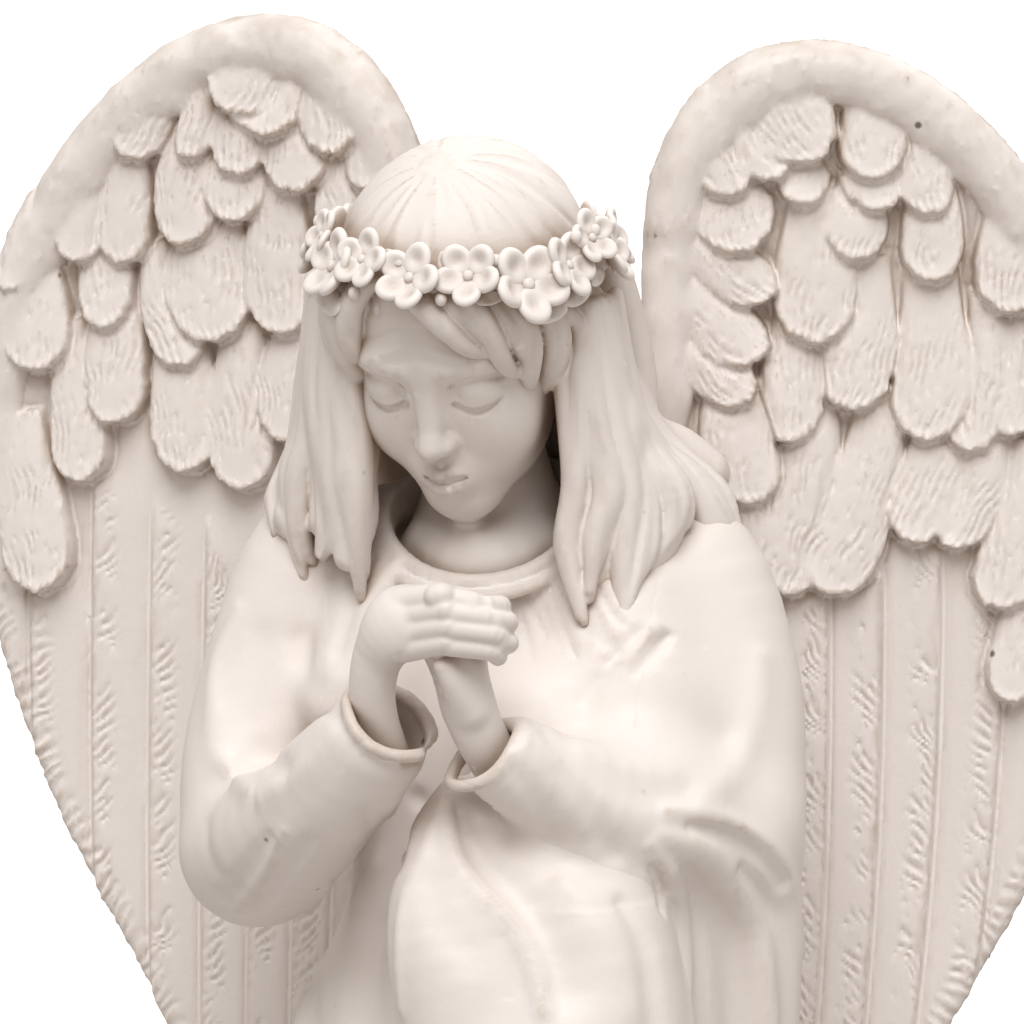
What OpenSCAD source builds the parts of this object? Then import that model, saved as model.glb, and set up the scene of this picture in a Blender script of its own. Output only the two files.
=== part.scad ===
// Praying angel figurine: cast resin, assembled from separate castings on steel dowels.
// The angel faces -Y, its own left side is +X, and the table is the plane z = 0.

/* [Plinth] */
// Radius of the round plinth at its foot
plinth_r = 72; // [69:0.5:76]
// Height of the plinth casting
plinth_h = 14; // [12:0.5:16]
// Thickness of the plinth's wall and top
plinth_wall = 5; // [4:0.5:6]
// Thickness of the plate that closes the plinth from below
plate_t = 3; // [2:0.5:4]
// Thickness of the felt pad
felt_t = 1.5; // [1:0.25:2.5]

/* [Robe] */
// Half width of the robe's hem
hem_r = 59; // [55:0.5:62]
// Half width of the waist
waist_r = 29; // [27:0.5:32]
// Half width of the chest
chest_r = 34; // [33:0.5:36]
// Height of the neck's foot above the table
neck_z = 208; // [204:1:211]
// How far the raised knee stands out in front of the lap
knee_reach = 33; // [28:1:36]
// Height of the raised knee above the table
knee_z = 120; // [112:1:123]
// Number of folds around the skirt
fold_count = 12; // [8:1:15]
// Depth of the folds at the hem
fold_depth = 2.6; // [1:0.2:3]
// Thickness of the hollow casting's wall
robe_wall = 6; // [5:0.5:8]

/* [Head] */
// Radius of the skull with its hair
skull_r = 29; // [27:0.5:30]
// Distance from the centre of the skull to the chin
chin_drop = 39; // [36:0.5:41]
// How far the head bows, in degrees
head_bow = 30; // [25:1:34]
// How far the head turns to its own right, in degrees
head_turn = 12; // [0:1:18]
// How far the head leans to its own right, in degrees
head_lean = 1; // [0:1:6]
// Height of the wreath above the middle of the skull
wreath_up = 7.5; // [6:0.5:9]
// Number of flowers in the wreath
flower_count = 16; // [12:1:18]
// Radius of one flower
flower_r = 5; // [4.2:0.1:5.6]

/* [Arms] */
// Radius of the sleeve at the shoulder
shoulder_r = 17; // [15:0.5:18]
// Radius of the sleeve at the elbow
elbow_r = 15; // [13:0.5:16]
// Radius of the sleeve at the cuff
cuff_r = 10; // [9:0.5:11]
// Radius of the wrist
wrist_r = 5.5; // [5:0.25:6]

/* [Wings] */
// Height of the left wing's top above the table
left_wing_top = 289; // [284:1:294]
// Height of the right wing's top above the table
right_wing_top = 297; // [290:1:302]
// Thickness of the wing's blade
blade_t = 6; // [5:0.5:8]
// Radius of the rounded front edge of the wing
rim_r = 6; // [5:0.25:6.5]
// Angle that each wing sweeps back, in degrees
wing_sweep = 10; // [5:1:14]
// Thickness of one layer of feathers
feather_t = 1.6; // [1.2:0.1:2]

/* [Dowels] */
// Radius of the steel dowels
dowel_r = 2; // [1.5:0.1:2.5]
// Gap that the adhesive fills round a dowel
glue_gap = 0.05; // [0.03:0.01:0.1]
// Length of one wing dowel
wing_dowel_l = 18; // [14:1:19]

/* [Hidden] */
$fn = 64;

resin = [0.93, 0.90, 0.87];
wash = [0.88, 0.84, 0.79];
steel = [0.72, 0.73, 0.75];
felt = [0.55, 0.52, 0.47];

plinth_top = felt_t + plinth_h;
robe_z = plinth_top;
cavity_z = 150;                     // above this height the torso is solid resin
skull_at = [-6, -10, 246];
hair_back = 3;                      // the cap of hair sits this far behind the middle of the skull
wreath_dip = 5;                     // the wreath's forward tilt from level, in degrees
neck_at = [0, 10, neck_z - 4];
neck_dowel_l = 34;
butt_x = 31;                        // the arms meet the torso on flat faces at this half width
shoulder_z = 186;
arm_dowel_l = 22;
body_y = 8;                         // the middle of the torso, front to back
palm_at = [-3, -55, 183];
wing_face_y = 36;                   // front face of a wing's blade
wing_seat_y = 26;                   // the wing's plugs reach this far into the back
wing_dowel_x = 15;
wing_dowel_y = 33;
wing_dowel_z = [162, 184];
wing_boss_r = 8;
wing_ref_top = 290;                 // height of the wing's top in the outline below
rim_taper = 0.035;                  // how much thinner the rim gets from one of its points to the next

// Height, centre in y, half width and half depth of the robe at its stations
body_stations = [
    [robe_z, -6, hem_r, hem_r - 2],
    [34, -5, hem_r - 4, hem_r - 5],
    [62, -2, 49, 45],
    [92, 4, 41, 36],
    [116, 8, 35, 29],
    [136, 10, waist_r, 22],
    [162, 8, chest_r - 1, 23],
    [186, 8, chest_r, 22],
    [200, 10, 27, 17],
    [neck_z, 10, 11, 10]];

// Outline of a wing: distance outwards from the middle of the back, and height
wing_outline = [
    [9, 196], [20, 222], [21, 250], [23, 267], [30, 281], [41, 289.5], [54, 292], [67, 289.5], [78, 284],
    [88, 275.5], [98, 264], [108, 249], [115, 228], [117, 204], [113, 168], [100, 131], [81, 95],
    [61, 54], [44, 24], [35, 30], [24, 80], [12, 140]];
// The leading edge of the wing, from its root over the top and down the outer side
wing_rim = [
    [16, 192], [24, 222], [27, 250], [31, 269], [42, 281], [54, 285], [67, 282], [80, 273],
    [94, 257], [105, 238], [110, 212], [108, 178]];
// Rows of feathers: number, roots of the first and last, tips of the first and last, half width, layer
feather_rows = [
    [7, [24, 176], [104, 176], [36, 36], [93, 122], 8, 1],
    [7, [24, 210], [104, 202], [28, 158], [104, 152], 8, 2],
    [6, [30, 238], [98, 232], [32, 200], [102, 190], 7.6, 3],
    [5, [36, 262], [86, 256], [37, 230], [94, 222], 7.2, 4]];

function ease(t) = let (c = max(0, min(1, t))) c * c * (3 - 2 * c);
function turn_between(a, b) = abs((a - b + 540) % 360 - 180);
function unit(v) = v / norm(v);

// A smooth curve through hand-placed points
function through(a, b, c, d, t) =
    0.5 * (2 * b + (c - a) * t + (2 * a - 5 * b + 4 * c - d) * t * t + (3 * b - a - 3 * c + d) * t * t * t);
function closed_curve(p, steps) = let (n = len(p))
    [for (i = [0 : n - 1], s = [0 : steps - 1])
        through(p[(i + n - 1) % n], p[i], p[(i + 1) % n], p[(i + 2) % n], s / steps)];
function open_curve(p, steps) = let (n = len(p))
    concat([for (i = [0 : n - 2], s = [0 : steps - 1])
        through(p[max(i - 1, 0)], p[i], p[i + 1], p[min(i + 2, n - 1)], s / steps)], [p[n - 1]]);

// Joins rings of equal size into one skin; the first and last ring are closed flat
function skin_faces(rings, sides) = concat(
    [[for (i = [0 : sides - 1]) i]],
    [for (r = [0 : rings - 2], i = [0 : sides - 1]) let (j = (i + 1) % sides)
        each [[r * sides + i, (r + 1) * sides + i, (r + 1) * sides + j],
              [r * sides + i, (r + 1) * sides + j, r * sides + j]]],
    [[for (i = [sides - 1 : -1 : 0]) (rings - 1) * sides + i]]);

module skin(rings) {
    sides = len(rings[0]);
    polyhedron(points = [for (r = rings, p = r) p], faces = skin_faces(len(rings), sides), convexity = 8);
}

// A limb of changing radius along a path
module limb(path, radii, sides = 24, steps = 3) {
    p = open_curve(path, steps);
    r = open_curve(radii, steps);
    n = len(p);
    skin([for (i = [0 : n - 1])
        let (along = unit(p[min(i + 1, n - 1)] - p[max(i - 1, 0)]),
             across = unit(cross(along, abs(along[1]) > 0.8 ? [0, 0, 1] : [0, 1, 0])),
             upward = cross(across, along))
        [for (k = [0 : sides - 1]) p[i] + r[i] * (cos(-360 * k / sides) * across
                                                 + sin(-360 * k / sides) * upward)]]);
}

module dowel(at, length, direction, r = dowel_r) {
    translate(at)
        rotate(direction == "x" ? [0, 90, 0] : direction == "y" ? [-90, 0, 0] : [0, 0, 0])
            cylinder(r = r, h = length, center = true);
}

// Places the head's parts, which are modelled upright round the centre of the skull
module head_pose() {
    translate(skull_at) rotate([0, 0, -head_turn]) rotate([0, -head_lean, 0]) rotate([head_bow, 0, 0])
        children();
}

module felt_pad() {
    color(felt) cylinder(r = plinth_r - 3, h = felt_t);
}

module base_plate() {
    color(resin) translate([0, 0, felt_t]) cylinder(r = plinth_r - plinth_wall - 3.2, h = plate_t);
}

// The plinth is cast open from below, with a moulded edge and a ledge for the closing plate
module plinth() {
    inner = plinth_r - plinth_wall - 3;
    color(resin) translate([0, 0, felt_t]) rotate_extrude()
        polygon([
            [inner, 0], [plinth_r, 0], [plinth_r, 3.5],
            for (a = [0 : 15 : 90]) [plinth_r - 5 + 4 * cos(a) , 4.5 + 3 * sin(a)],
            for (a = [270 : -15 : 180]) [plinth_r - 5 + 2 * cos(a), 10 + 2 * sin(a)],
            [plinth_r - 6, plinth_h - 1], [plinth_r - 7, plinth_h], [0, plinth_h],
            [0, plinth_h - plinth_wall], [inner, plinth_h - plinth_wall]]);
}

// One level of the robe: an ellipse with folds, the raised left knee and the right knee on the ground
function robe_ring(station, inset, sides = 60) =
    let (z = station[0],
         fall = ease((knee_z + 8 - z) / 16),
         lift = knee_reach * fall * ease((z - robe_z) / (knee_z - robe_z)) * 1.05,
         kneel = 5 * ease((70 - z) / 40),
         fold = inset > 0 ? 0 : fold_depth * ease((110 - z) / 80))
    [for (k = [0 : sides - 1])
        let (a = 360 * k / sides,
             knee = lift * exp(-pow(turn_between(a, -78) / 30, 2)),
             low = kneel * exp(-pow(turn_between(a, -130) / 24, 2)),
             out = knee + low + fold * cos(fold_count * a) - inset)
        [(station[2] + out) * cos(a), station[1] + (station[3] + out) * sin(a), z]];

// One closed skin: down the hollow inside, across the open foot, and up the outside to the neck
module robe_body() {
    levels = open_curve(body_stations, 2);
    hollow = [for (level = levels) if (level[0] < cavity_z) level];
    last = len(hollow) - 1;
    color(resin) difference() {
        skin(concat([for (i = [last : -1 : 0]) robe_ring(hollow[i], robe_wall)],
                    [for (level = levels) robe_ring(level, 0)]));
        for (side = [-1, 1]) {
            translate([side * (butt_x + 20), body_y, shoulder_z + 4]) cube([40, 60, 60], center = true);
            dowel([side * butt_x, body_y, shoulder_z], arm_dowel_l, "x", dowel_r + glue_gap);
            for (z = wing_dowel_z) {
                dowel([side * wing_dowel_x, wing_dowel_y, z], wing_dowel_l, "y", dowel_r + glue_gap);
                translate([side * wing_dowel_x, wing_seat_y, z]) rotate([-90, 0, 0])
                    cylinder(r = wing_boss_r + glue_gap, h = 20);
            }
        }
        dowel(neck_at, neck_dowel_l, "z", dowel_r + 1 + glue_gap);
    }
}

// The peg of a wrist, from the palm down into the sleeve
module wrist_peg(side, gap) {
    from = palm_at + [side * 3, 0, -3];
    to = palm_at + [side * 15.5, 8.5, -18];
    tilt = acos((to - from)[2] / norm(to - from));
    translate(from) rotate([0, tilt, atan2((to - from)[1], (to - from)[0])])
        cylinder(r = wrist_r + gap, h = norm(to - from) + gap);
}

// An arm in its sleeve, with a flat face and a dowel at the shoulder and a socket at the cuff
module arm(side, elbow, cuff) {
    color(resin) difference() {
        union() {
            hull() {
                translate([side * 37, body_y, shoulder_z + 1]) sphere(r = shoulder_r - 2, $fn = 28);
                translate(elbow) sphere(r = elbow_r, $fn = 28);
            }
            hull() {
                translate(elbow + [-side * 2, -3, 1]) sphere(r = elbow_r - 1.4, $fn = 26);
                translate(cuff) sphere(r = cuff_r, $fn = 26);
            }
            children();
        }
        translate([0, 0, shoulder_z]) cube([2 * butt_x, 80, 60], center = true);
        dowel([side * butt_x, body_y, shoulder_z], arm_dowel_l, "x", dowel_r + glue_gap);
        wrist_peg(side, glue_gap);
    }
}

module right_arm() {
    arm(-1, [-49, -5, 141], [-19, -46, 161]);
}

// The wide sleeve of the left arm hangs down from the elbow
module left_arm() {
    arm(1, [48, -5, 146], [14, -46, 162])
        hull() {
            translate([48, -3, 143]) sphere(r = 11.3, $fn = 24);
            translate([48, -3, 92]) cylinder(r = 11.3, h = 6, $fn = 24);
        }
}

// Two hands clasped in prayer: palms, crossed fingers and the pegs of the wrists
module clasped_hands() {
    color(wash) {
        for (side = [-1, 1]) {
            hull() {
                translate(palm_at + [side * 4.5, 1, -3]) sphere(r = 7, $fn = 20);
                translate(palm_at + [side * 3.5, -1, 9]) sphere(r = 5.5, $fn = 20);
            }
            wrist_peg(side, 0);
        }
        for (finger = [0 : 3])
            hull() {
                translate(palm_at + [-8, -3, 12 - 4 * finger]) sphere(r = 2.6, $fn = 16);
                translate(palm_at + [7, -5.5, 10.5 - 4 * finger]) sphere(r = 2.4, $fn = 16);
            }
    }
}

// Head, hair and neck in one casting: a plain egg for the face, with a round hair cap
module head() {
    color(resin) difference() {
        union() {
            head_pose() {
                rotate_extrude() polygon([
                    for (a = [-90 : 7.5 : 90])
                        let (down = a < 0 ? chin_drop : skull_r - 4,
                             wide = a < 0 ? (skull_r - 4) * (1 - 0.18 * pow(sin(a), 2)) : skull_r - 4)
                        [a == -90 || a == 90 ? 0 : wide * cos(a), down * sin(a)]]);
                translate([0, hair_back, 0]) sphere(r = skull_r);
            }
            translate([0, 5, neck_z - 3]) rotate([14, 0, 0]) cylinder(r = 10, h = 30);
            for (side = [-1, 1])
                hull() {
                    translate([skull_at[0] + side * 19, 4, 238]) sphere(r = 9, $fn = 28);
                    translate([side * 24, 8, 217]) sphere(r = 8.5, $fn = 28);
                }
        }
        translate([0, 0, neck_z - 19]) cylinder(r = 60, h = 19);
        dowel(neck_at, neck_dowel_l, "z", dowel_r + 1 + glue_gap);
    }
}

function petal_ring(r) = [for (a = [0 : 9 : 351]) r * (0.80 + 0.20 * cos(5 * a)) * [cos(a), sin(a)]];

// A ring of stems that lies nearly level on the hair, with a five-petalled flower at each step
module flower_wreath() {
    ring_r = sqrt(pow(skull_r, 2) - pow(wreath_up, 2)) + 0.4;
    stem_r = 2.6;
    color(resin) head_pose() translate([0, hair_back, 0]) rotate([wreath_dip - head_bow, 0, 0]) union() {
        difference() {
            translate([0, 0, wreath_up]) rotate_extrude() translate([ring_r, 0]) circle(r = stem_r);
            sphere(r = skull_r + glue_gap);
        }
        for (i = [0 : flower_count - 1])
            rotate([0, 0, 360 * i / flower_count])
                translate([skull_r + 0.6, 0, wreath_up + (i % 2 == 0 ? 0.8 : -0.8)]) rotate([0, 90, 0])
                    linear_extrude(height = 4) polygon(petal_ring(flower_r));
    }
}

function feather_outline(half, length) = concat(
    [[-half * 0.6, 0], [-half, -length * 0.45]],
    [for (a = [180 : 18 : 360]) [half * cos(a), -length + half + half * sin(a)]],
    [[half, -length * 0.45], [half * 0.6, 0]]);

// One wing, drawn for the angel's left side: x outwards, y up, and z towards the back
module wing_blank(top) {
    stretch = (top - wing_ref_top) * 0.5;
    rim = [for (p = wing_rim) [p[0], p[1] + stretch, 0]];
    linear_extrude(height = blade_t)
        polygon([for (p = closed_curve(wing_outline, 4)) p + [0, stretch]]);
    limb(rim, [for (i = [0 : len(rim) - 1]) rim_r * (1 - rim_taper * i)], 16, 3);
    for (row = feather_rows, i = [0 : row[0] - 1]) {
        along = i / (row[0] - 1);
        root = row[1] + (row[2] - row[1]) * along + [0, stretch];
        tip = row[3] + (row[4] - row[3]) * along + [0, stretch];
        height = 0.5 * row[6] + 0.03 * i;
        translate([root[0], root[1], -height])
            rotate([0, 0, atan2(tip[1] - root[1], tip[0] - root[0]) + 90])
                linear_extrude(height = height + feather_t)
                    polygon(feather_outline(row[5], norm(tip - root)));
    }
}

module wing(side, top) {
    color(resin) difference() {
        union() {
            scale([side, 1, 1]) translate([0, wing_face_y, 0]) rotate([0, 0, wing_sweep])
                translate([0, 0, (top - wing_ref_top) * 0.5]) rotate([90, 0, 0]) mirror([0, 0, 1])
                    wing_blank(top);
            for (z = wing_dowel_z)
                translate([side * wing_dowel_x, wing_seat_y + glue_gap, z]) rotate([-90, 0, 0])
                    cylinder(r = wing_boss_r, h = wing_face_y - wing_seat_y + 4);
        }
        for (z = wing_dowel_z)
            dowel([side * wing_dowel_x, wing_dowel_y, z], wing_dowel_l, "y", dowel_r + glue_gap);
    }
}

module left_wing() { wing(1, left_wing_top); }
module right_wing() { wing(-1, right_wing_top); }

module wing_dowels(side) {
    color(steel) for (z = wing_dowel_z)
        dowel([side * wing_dowel_x, wing_dowel_y, z], wing_dowel_l, "y");
}

module left_wing_dowels() { wing_dowels(1); }
module right_wing_dowels() { wing_dowels(-1); }

module neck_dowel() {
    color(steel) dowel(neck_at, neck_dowel_l, "z", dowel_r + 1);
}

module arm_dowels() {
    color(steel) for (side = [-1, 1]) dowel([side * butt_x, body_y, shoulder_z], arm_dowel_l, "x");
}

felt_pad();
base_plate();
plinth();
robe_body();
right_arm();
left_arm();
clasped_hands();
head();
flower_wreath();
left_wing();
right_wing();
left_wing_dowels();
right_wing_dowels();
neck_dowel();
arm_dowels();
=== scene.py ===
import math
import random
import bpy
import numpy as np
import openvdb
from mathutils import Matrix, Vector


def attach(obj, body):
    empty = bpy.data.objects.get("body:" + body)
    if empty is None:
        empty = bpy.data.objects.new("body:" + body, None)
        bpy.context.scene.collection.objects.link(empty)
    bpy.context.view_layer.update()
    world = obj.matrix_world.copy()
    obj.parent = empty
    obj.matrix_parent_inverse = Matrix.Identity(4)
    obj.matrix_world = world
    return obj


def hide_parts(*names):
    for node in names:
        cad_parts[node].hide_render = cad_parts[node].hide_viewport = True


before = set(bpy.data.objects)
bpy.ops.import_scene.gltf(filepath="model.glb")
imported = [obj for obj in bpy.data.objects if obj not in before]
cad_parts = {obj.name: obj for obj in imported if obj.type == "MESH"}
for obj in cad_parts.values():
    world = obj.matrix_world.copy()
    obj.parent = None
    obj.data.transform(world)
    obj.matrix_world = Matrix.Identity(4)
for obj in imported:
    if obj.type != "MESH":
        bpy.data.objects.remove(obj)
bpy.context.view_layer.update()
mm = 0.001


# camera, light and floor

view = {
    "target": (2, 0, 205),   # millimetres
    "azimuth": 9,
    "elevation": 8,
    "distance": 1200,
    "shown": 193,            # millimetres across the picture at the target
}


def placeCamera():
    a, e = math.radians(view["azimuth"]), math.radians(view["elevation"])
    back = Vector((math.sin(a) * math.cos(e), -math.cos(a) * math.cos(e), math.sin(e)))
    camera = bpy.data.objects.new("camera", bpy.data.cameras.new("camera"))
    bpy.context.collection.objects.link(camera)
    camera.data.sensor_width = 36
    camera.data.lens = 36 * view["distance"] / view["shown"]
    camera.data.clip_start, camera.data.clip_end = 0.05, 60
    camera.location = (Vector(view["target"]) + back * view["distance"]) * mm
    camera.rotation_euler = (-back).to_track_quat("-Z", "Y").to_euler()
    bpy.context.scene.camera = camera


def facing(right, up, y):
    # the point at depth y seen so many millimetres right of and above the middle of the view
    a, e = math.radians(view["azimuth"]), math.radians(view["elevation"])
    back = np.array([math.sin(a) * math.cos(e), -math.cos(a) * math.cos(e), math.sin(e)])
    side = np.array([math.cos(a), math.sin(a), 0])
    eye = np.array(view["target"]) + back * view["distance"]
    ray = np.array(view["target"]) + side * right + np.cross(back, side) * up - eye
    return eye + ray * (y - eye[1]) / ray[1]


def addSun(name, energy, spread, tilt, turn, colour=(1, 1, 1)):
    sun = bpy.data.objects.new(name, bpy.data.lights.new(name, "SUN"))
    bpy.context.collection.objects.link(sun)
    sun.data.energy = energy
    sun.data.angle = math.radians(spread)
    sun.data.color = colour
    sun.rotation_euler = (math.radians(tilt), 0, math.radians(turn))


def placeStudio():
    addSun("softSun", 2.5, 40, 33, 5, (1, 0.992, 0.985))
    addSun("backSun", 0.9, 50, -48, -14)
    world = bpy.data.worlds.new("paleRoom")
    world.use_nodes = True
    world.node_tree.nodes["Background"].inputs["Color"].default_value = (1, 0.93, 0.86, 1)
    world.node_tree.nodes["Background"].inputs["Strength"].default_value = 0.5
    bpy.context.scene.world = world
    bpy.context.scene.view_settings.view_transform = "Standard"


def makeFloor():
    bpy.ops.object.select_all(action="DESELECT")
    bpy.ops.mesh.primitive_plane_add(size=16, location=(0, 0, 0))
    floor = bpy.context.object
    floor.name = "floor"
    paint = bpy.data.materials.new("paleFloor")
    paint.use_nodes = True
    tree = paint.node_tree
    shader = tree.nodes["Principled BSDF"]
    shader.inputs["Base Color"].default_value = (0.95, 0.945, 0.94, 1)
    shader.inputs["Roughness"].default_value = 0.8
    shader.inputs["Emission Color"].default_value = (1, 1, 1, 1)
    shader.inputs["Emission Strength"].default_value = 0.22
    dull = addNode(tree, "ShaderNodeBsdfDiffuse", None, {"Color": (0.42, 0.40, 0.385, 1)})
    seen = addNode(tree, "ShaderNodeLightPath")
    both = addNode(tree, "ShaderNodeMixShader")
    tree.links.new(seen.outputs["Is Camera Ray"], both.inputs["Fac"])
    tree.links.new(dull.outputs["BSDF"], both.inputs[1])
    tree.links.new(shader.outputs["BSDF"], both.inputs[2])
    tree.links.new(both.outputs["Shader"], tree.nodes["Material Output"].inputs["Surface"])
    floor.data.materials.append(paint)


# materials

def newGroup(name, inputs, outputs):
    group = bpy.data.node_groups.new(name, "ShaderNodeTree")
    for label, kind, value in inputs:
        socket = group.interface.new_socket(name=label, in_out="INPUT", socket_type=kind)
        socket.default_value = value
    for label, kind in outputs:
        group.interface.new_socket(name=label, in_out="OUTPUT", socket_type=kind)
    return group, group.nodes.new("NodeGroupInput"), group.nodes.new("NodeGroupOutput")


def addNode(tree, kind, settings=None, values=None):
    node = tree.nodes.new(kind)
    for key, value in (settings or {}).items():
        setattr(node, key, value)
    for key, value in (values or {}).items():
        node.inputs[key].default_value = value
    return node


def mathNode(tree, operation, a, b=None, clamp=False):
    node = addNode(tree, "ShaderNodeMath", {"operation": operation, "use_clamp": clamp})
    for socket, value in zip(node.inputs, (a, b)):
        if value is None:
            continue
        if isinstance(value, (int, float)):
            socket.default_value = value
        else:
            tree.links.new(value, socket)
    return node.outputs[0]


def spanNode(tree, value, low, high, newLow=0.0, newHigh=1.0):
    node = addNode(tree, "ShaderNodeMapRange", {"interpolation_type": "SMOOTHSTEP"},
                   {"From Min": low, "From Max": high, "To Min": newLow, "To Max": newHigh})
    tree.links.new(value, node.inputs["Value"])
    return node.outputs["Result"]


def mixColour(tree, factor, a, b):
    node = addNode(tree, "ShaderNodeMix", {"data_type": "RGBA"})
    for socket, value in ((node.inputs[0], factor), (node.inputs[6], a), (node.inputs[7], b)):
        if isinstance(value, (int, float, tuple)):
            socket.default_value = value
        else:
            tree.links.new(value, socket)
    return node.outputs[2]


def noiseNode(tree, scale, detail=3.0, rough=0.5, twist=0.0):
    coordinates = addNode(tree, "ShaderNodeTexCoord")
    noise = addNode(tree, "ShaderNodeTexNoise", None,
                    {"Scale": scale, "Detail": detail, "Roughness": rough, "Distortion": twist})
    tree.links.new(coordinates.outputs["Object"], noise.inputs["Vector"])
    return noise.outputs["Fac"]


def recessWashAndShadeGroup():
    # the tinted wash that stays in creases and is wiped off edges; the darkening in recesses and fine
    # grooves, found by ambient occlusion and pointiness, is partly that wash and partly painted shade
    group, start, end = newGroup(
        "recessWashAndShade",
        [("Clean", "NodeSocketColor", (0.9, 0.86, 0.82, 1)),
         ("WashAndShade", "NodeSocketColor", (0.5, 0.4, 0.3, 1)),
         ("Edge", "NodeSocketColor", (1, 1, 1, 1)), ("Amount", "NodeSocketFloat", 1.0),
         ("Reach", "NodeSocketFloat", 0.006)],
        [("Color", "NodeSocketColor")])
    wide = addNode(group, "ShaderNodeAmbientOcclusion", {"samples": 6})
    group.links.new(start.outputs["Reach"], wide.inputs["Distance"])
    sharp = addNode(group, "ShaderNodeNewGeometry").outputs["Pointiness"]
    # painted shade and wash: what ambient occlusion finds hidden, and fine grooves found by pointiness, take
    # the wash colour
    sunkWashAndShade = spanNode(group, wide.outputs["AO"], 0.92, 0.25)
    groove = spanNode(group, sharp, 0.495, 0.455)
    worn = spanNode(group, sharp, 0.512, 0.56)
    blotch = spanNode(group, noiseNode(group, 90, 4, 0.6), 0.3, 0.7, 0.65, 1.1)
    creaseWashAndShade = mathNode(group, "MAXIMUM", sunkWashAndShade, mathNode(group, "MULTIPLY", groove, 0.55))
    creaseWashAndShade = mathNode(group, "MULTIPLY", creaseWashAndShade, blotch)
    creaseWashAndShade = mathNode(group, "MULTIPLY", creaseWashAndShade, start.outputs["Amount"], clamp=True)
    washedAndShaded = mixColour(group, creaseWashAndShade, start.outputs["Clean"], start.outputs["WashAndShade"])
    group.links.new(mixColour(group, mathNode(group, "MULTIPLY", worn, 0.7), washedAndShaded,
                              start.outputs["Edge"]),
                    end.inputs["Color"])
    return group


def castSurfaceGroup():
    # the skin of a casting: faint mottling, brushed-on coat, pinholes where air stayed in the mould, painted
    # dark as the shade inside them
    group, start, end = newGroup(
        "castSurface",
        [("Color", "NodeSocketColor", (0.9, 0.86, 0.82, 1)),
         ("Pinhole Shade Color", "NodeSocketColor", (0.2, 0.16, 0.13, 1)),
         ("Holes", "NodeSocketFloat", 1.0), ("Grain", "NodeSocketFloat", 1.0)],
        [("Color", "NodeSocketColor"), ("Roughness", "NodeSocketFloat"), ("Height", "NodeSocketFloat")])
    cloud = noiseNode(group, 28, 3, 0.55)
    fine = noiseNode(group, 900, 2, 0.6)
    middle = noiseNode(group, 210, 4, 0.6)
    coordinates = addNode(group, "ShaderNodeTexCoord")
    cells = addNode(group, "ShaderNodeTexVoronoi", {"feature": "F1"}, {"Scale": 135.0, "Randomness": 1.0})
    group.links.new(coordinates.outputs["Object"], cells.inputs["Vector"])
    chosen = addNode(group, "ShaderNodeSeparateColor")
    group.links.new(cells.outputs["Color"], chosen.inputs["Color"])
    few = mathNode(group, "GREATER_THAN", chosen.outputs["Red"], 0.965)
    spot = spanNode(group, cells.outputs["Distance"], 0.13, 0.05)
    hole = mathNode(group, "MULTIPLY", few, spot)
    hole = mathNode(group, "MULTIPLY", hole, start.outputs["Holes"], clamp=True)
    warm = mixColour(group, spanNode(group, cloud, 0.35, 0.7, 0.0, 0.35), start.outputs["Color"],
                     (0.80, 0.745, 0.70, 1))
    # painted shade: the pinholes take a dark colour for the shade inside the pits
    group.links.new(mixColour(group, hole, warm, start.outputs["Pinhole Shade Color"]), end.inputs["Color"])
    rough = mathNode(group, "ADD", spanNode(group, middle, 0.3, 0.7, 0.44, 0.6),
                     mathNode(group, "MULTIPLY", hole, 0.3), clamp=True)
    group.links.new(rough, end.inputs["Roughness"])
    skin = mathNode(group, "ADD", mathNode(group, "MULTIPLY", fine, 0.35), middle)
    skin = mathNode(group, "MULTIPLY", skin, start.outputs["Grain"])
    skin = mathNode(group, "SUBTRACT", skin, mathNode(group, "MULTIPLY", hole, 3.0))
    group.links.new(skin, end.inputs["Height"])
    return group


groups = {"wash": recessWashAndShadeGroup(), "cast": castSurfaceGroup()}

resinLook = {
    "clean": (0.80, 0.748, 0.716, 1),
    # the wash colour, which also serves as painted shade in recesses
    "wash": (0.42, 0.315, 0.235, 1),
    "edge": (0.92, 0.885, 0.86, 1),
}


def resinMaterial(name, amount, reach, holes=1.0, bump=0.12):
    material = bpy.data.materials.new(name)
    material.use_nodes = True
    tree = material.node_tree
    shader = tree.nodes["Principled BSDF"]
    wash = addNode(tree, "ShaderNodeGroup", {"node_tree": groups["wash"]},
                   {"Clean": resinLook["clean"], "WashAndShade": resinLook["wash"], "Edge": resinLook["edge"],
                    "Amount": amount, "Reach": reach})
    cast = addNode(tree, "ShaderNodeGroup", {"node_tree": groups["cast"]}, {"Holes": holes})
    bumps = addNode(tree, "ShaderNodeBump", None, {"Strength": bump, "Distance": 0.0006})
    tree.links.new(wash.outputs["Color"], cast.inputs["Color"])
    tree.links.new(cast.outputs["Color"], shader.inputs["Base Color"])
    tree.links.new(cast.outputs["Roughness"], shader.inputs["Roughness"])
    tree.links.new(cast.outputs["Height"], bumps.inputs["Height"])
    tree.links.new(bumps.outputs["Normal"], shader.inputs["Normal"])
    shader.inputs["Specular IOR Level"].default_value = 0.4
    return material


# amount and reach set how strongly and how far each material darkens its recesses with wash and painted shade
resin = {
    "body": resinMaterial("castResin", amount=0.9, reach=0.011),
    "feather": resinMaterial("castResinFeathers", amount=1.0, reach=0.0055, bump=0.16),
    "fine": resinMaterial("castResinFine", amount=1.1, reach=0.008, holes=0.0, bump=0.08),
    "hair": resinMaterial("castResinHair", amount=1.25, reach=0.013, holes=0.6, bump=0.1),
}


# clay: shapes pressed into a block of signed distances, in millimetres, then skinned

def smooth01(t):
    t = np.clip(t, 0, 1)
    return t * t * (3 - 2 * t)


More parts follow.
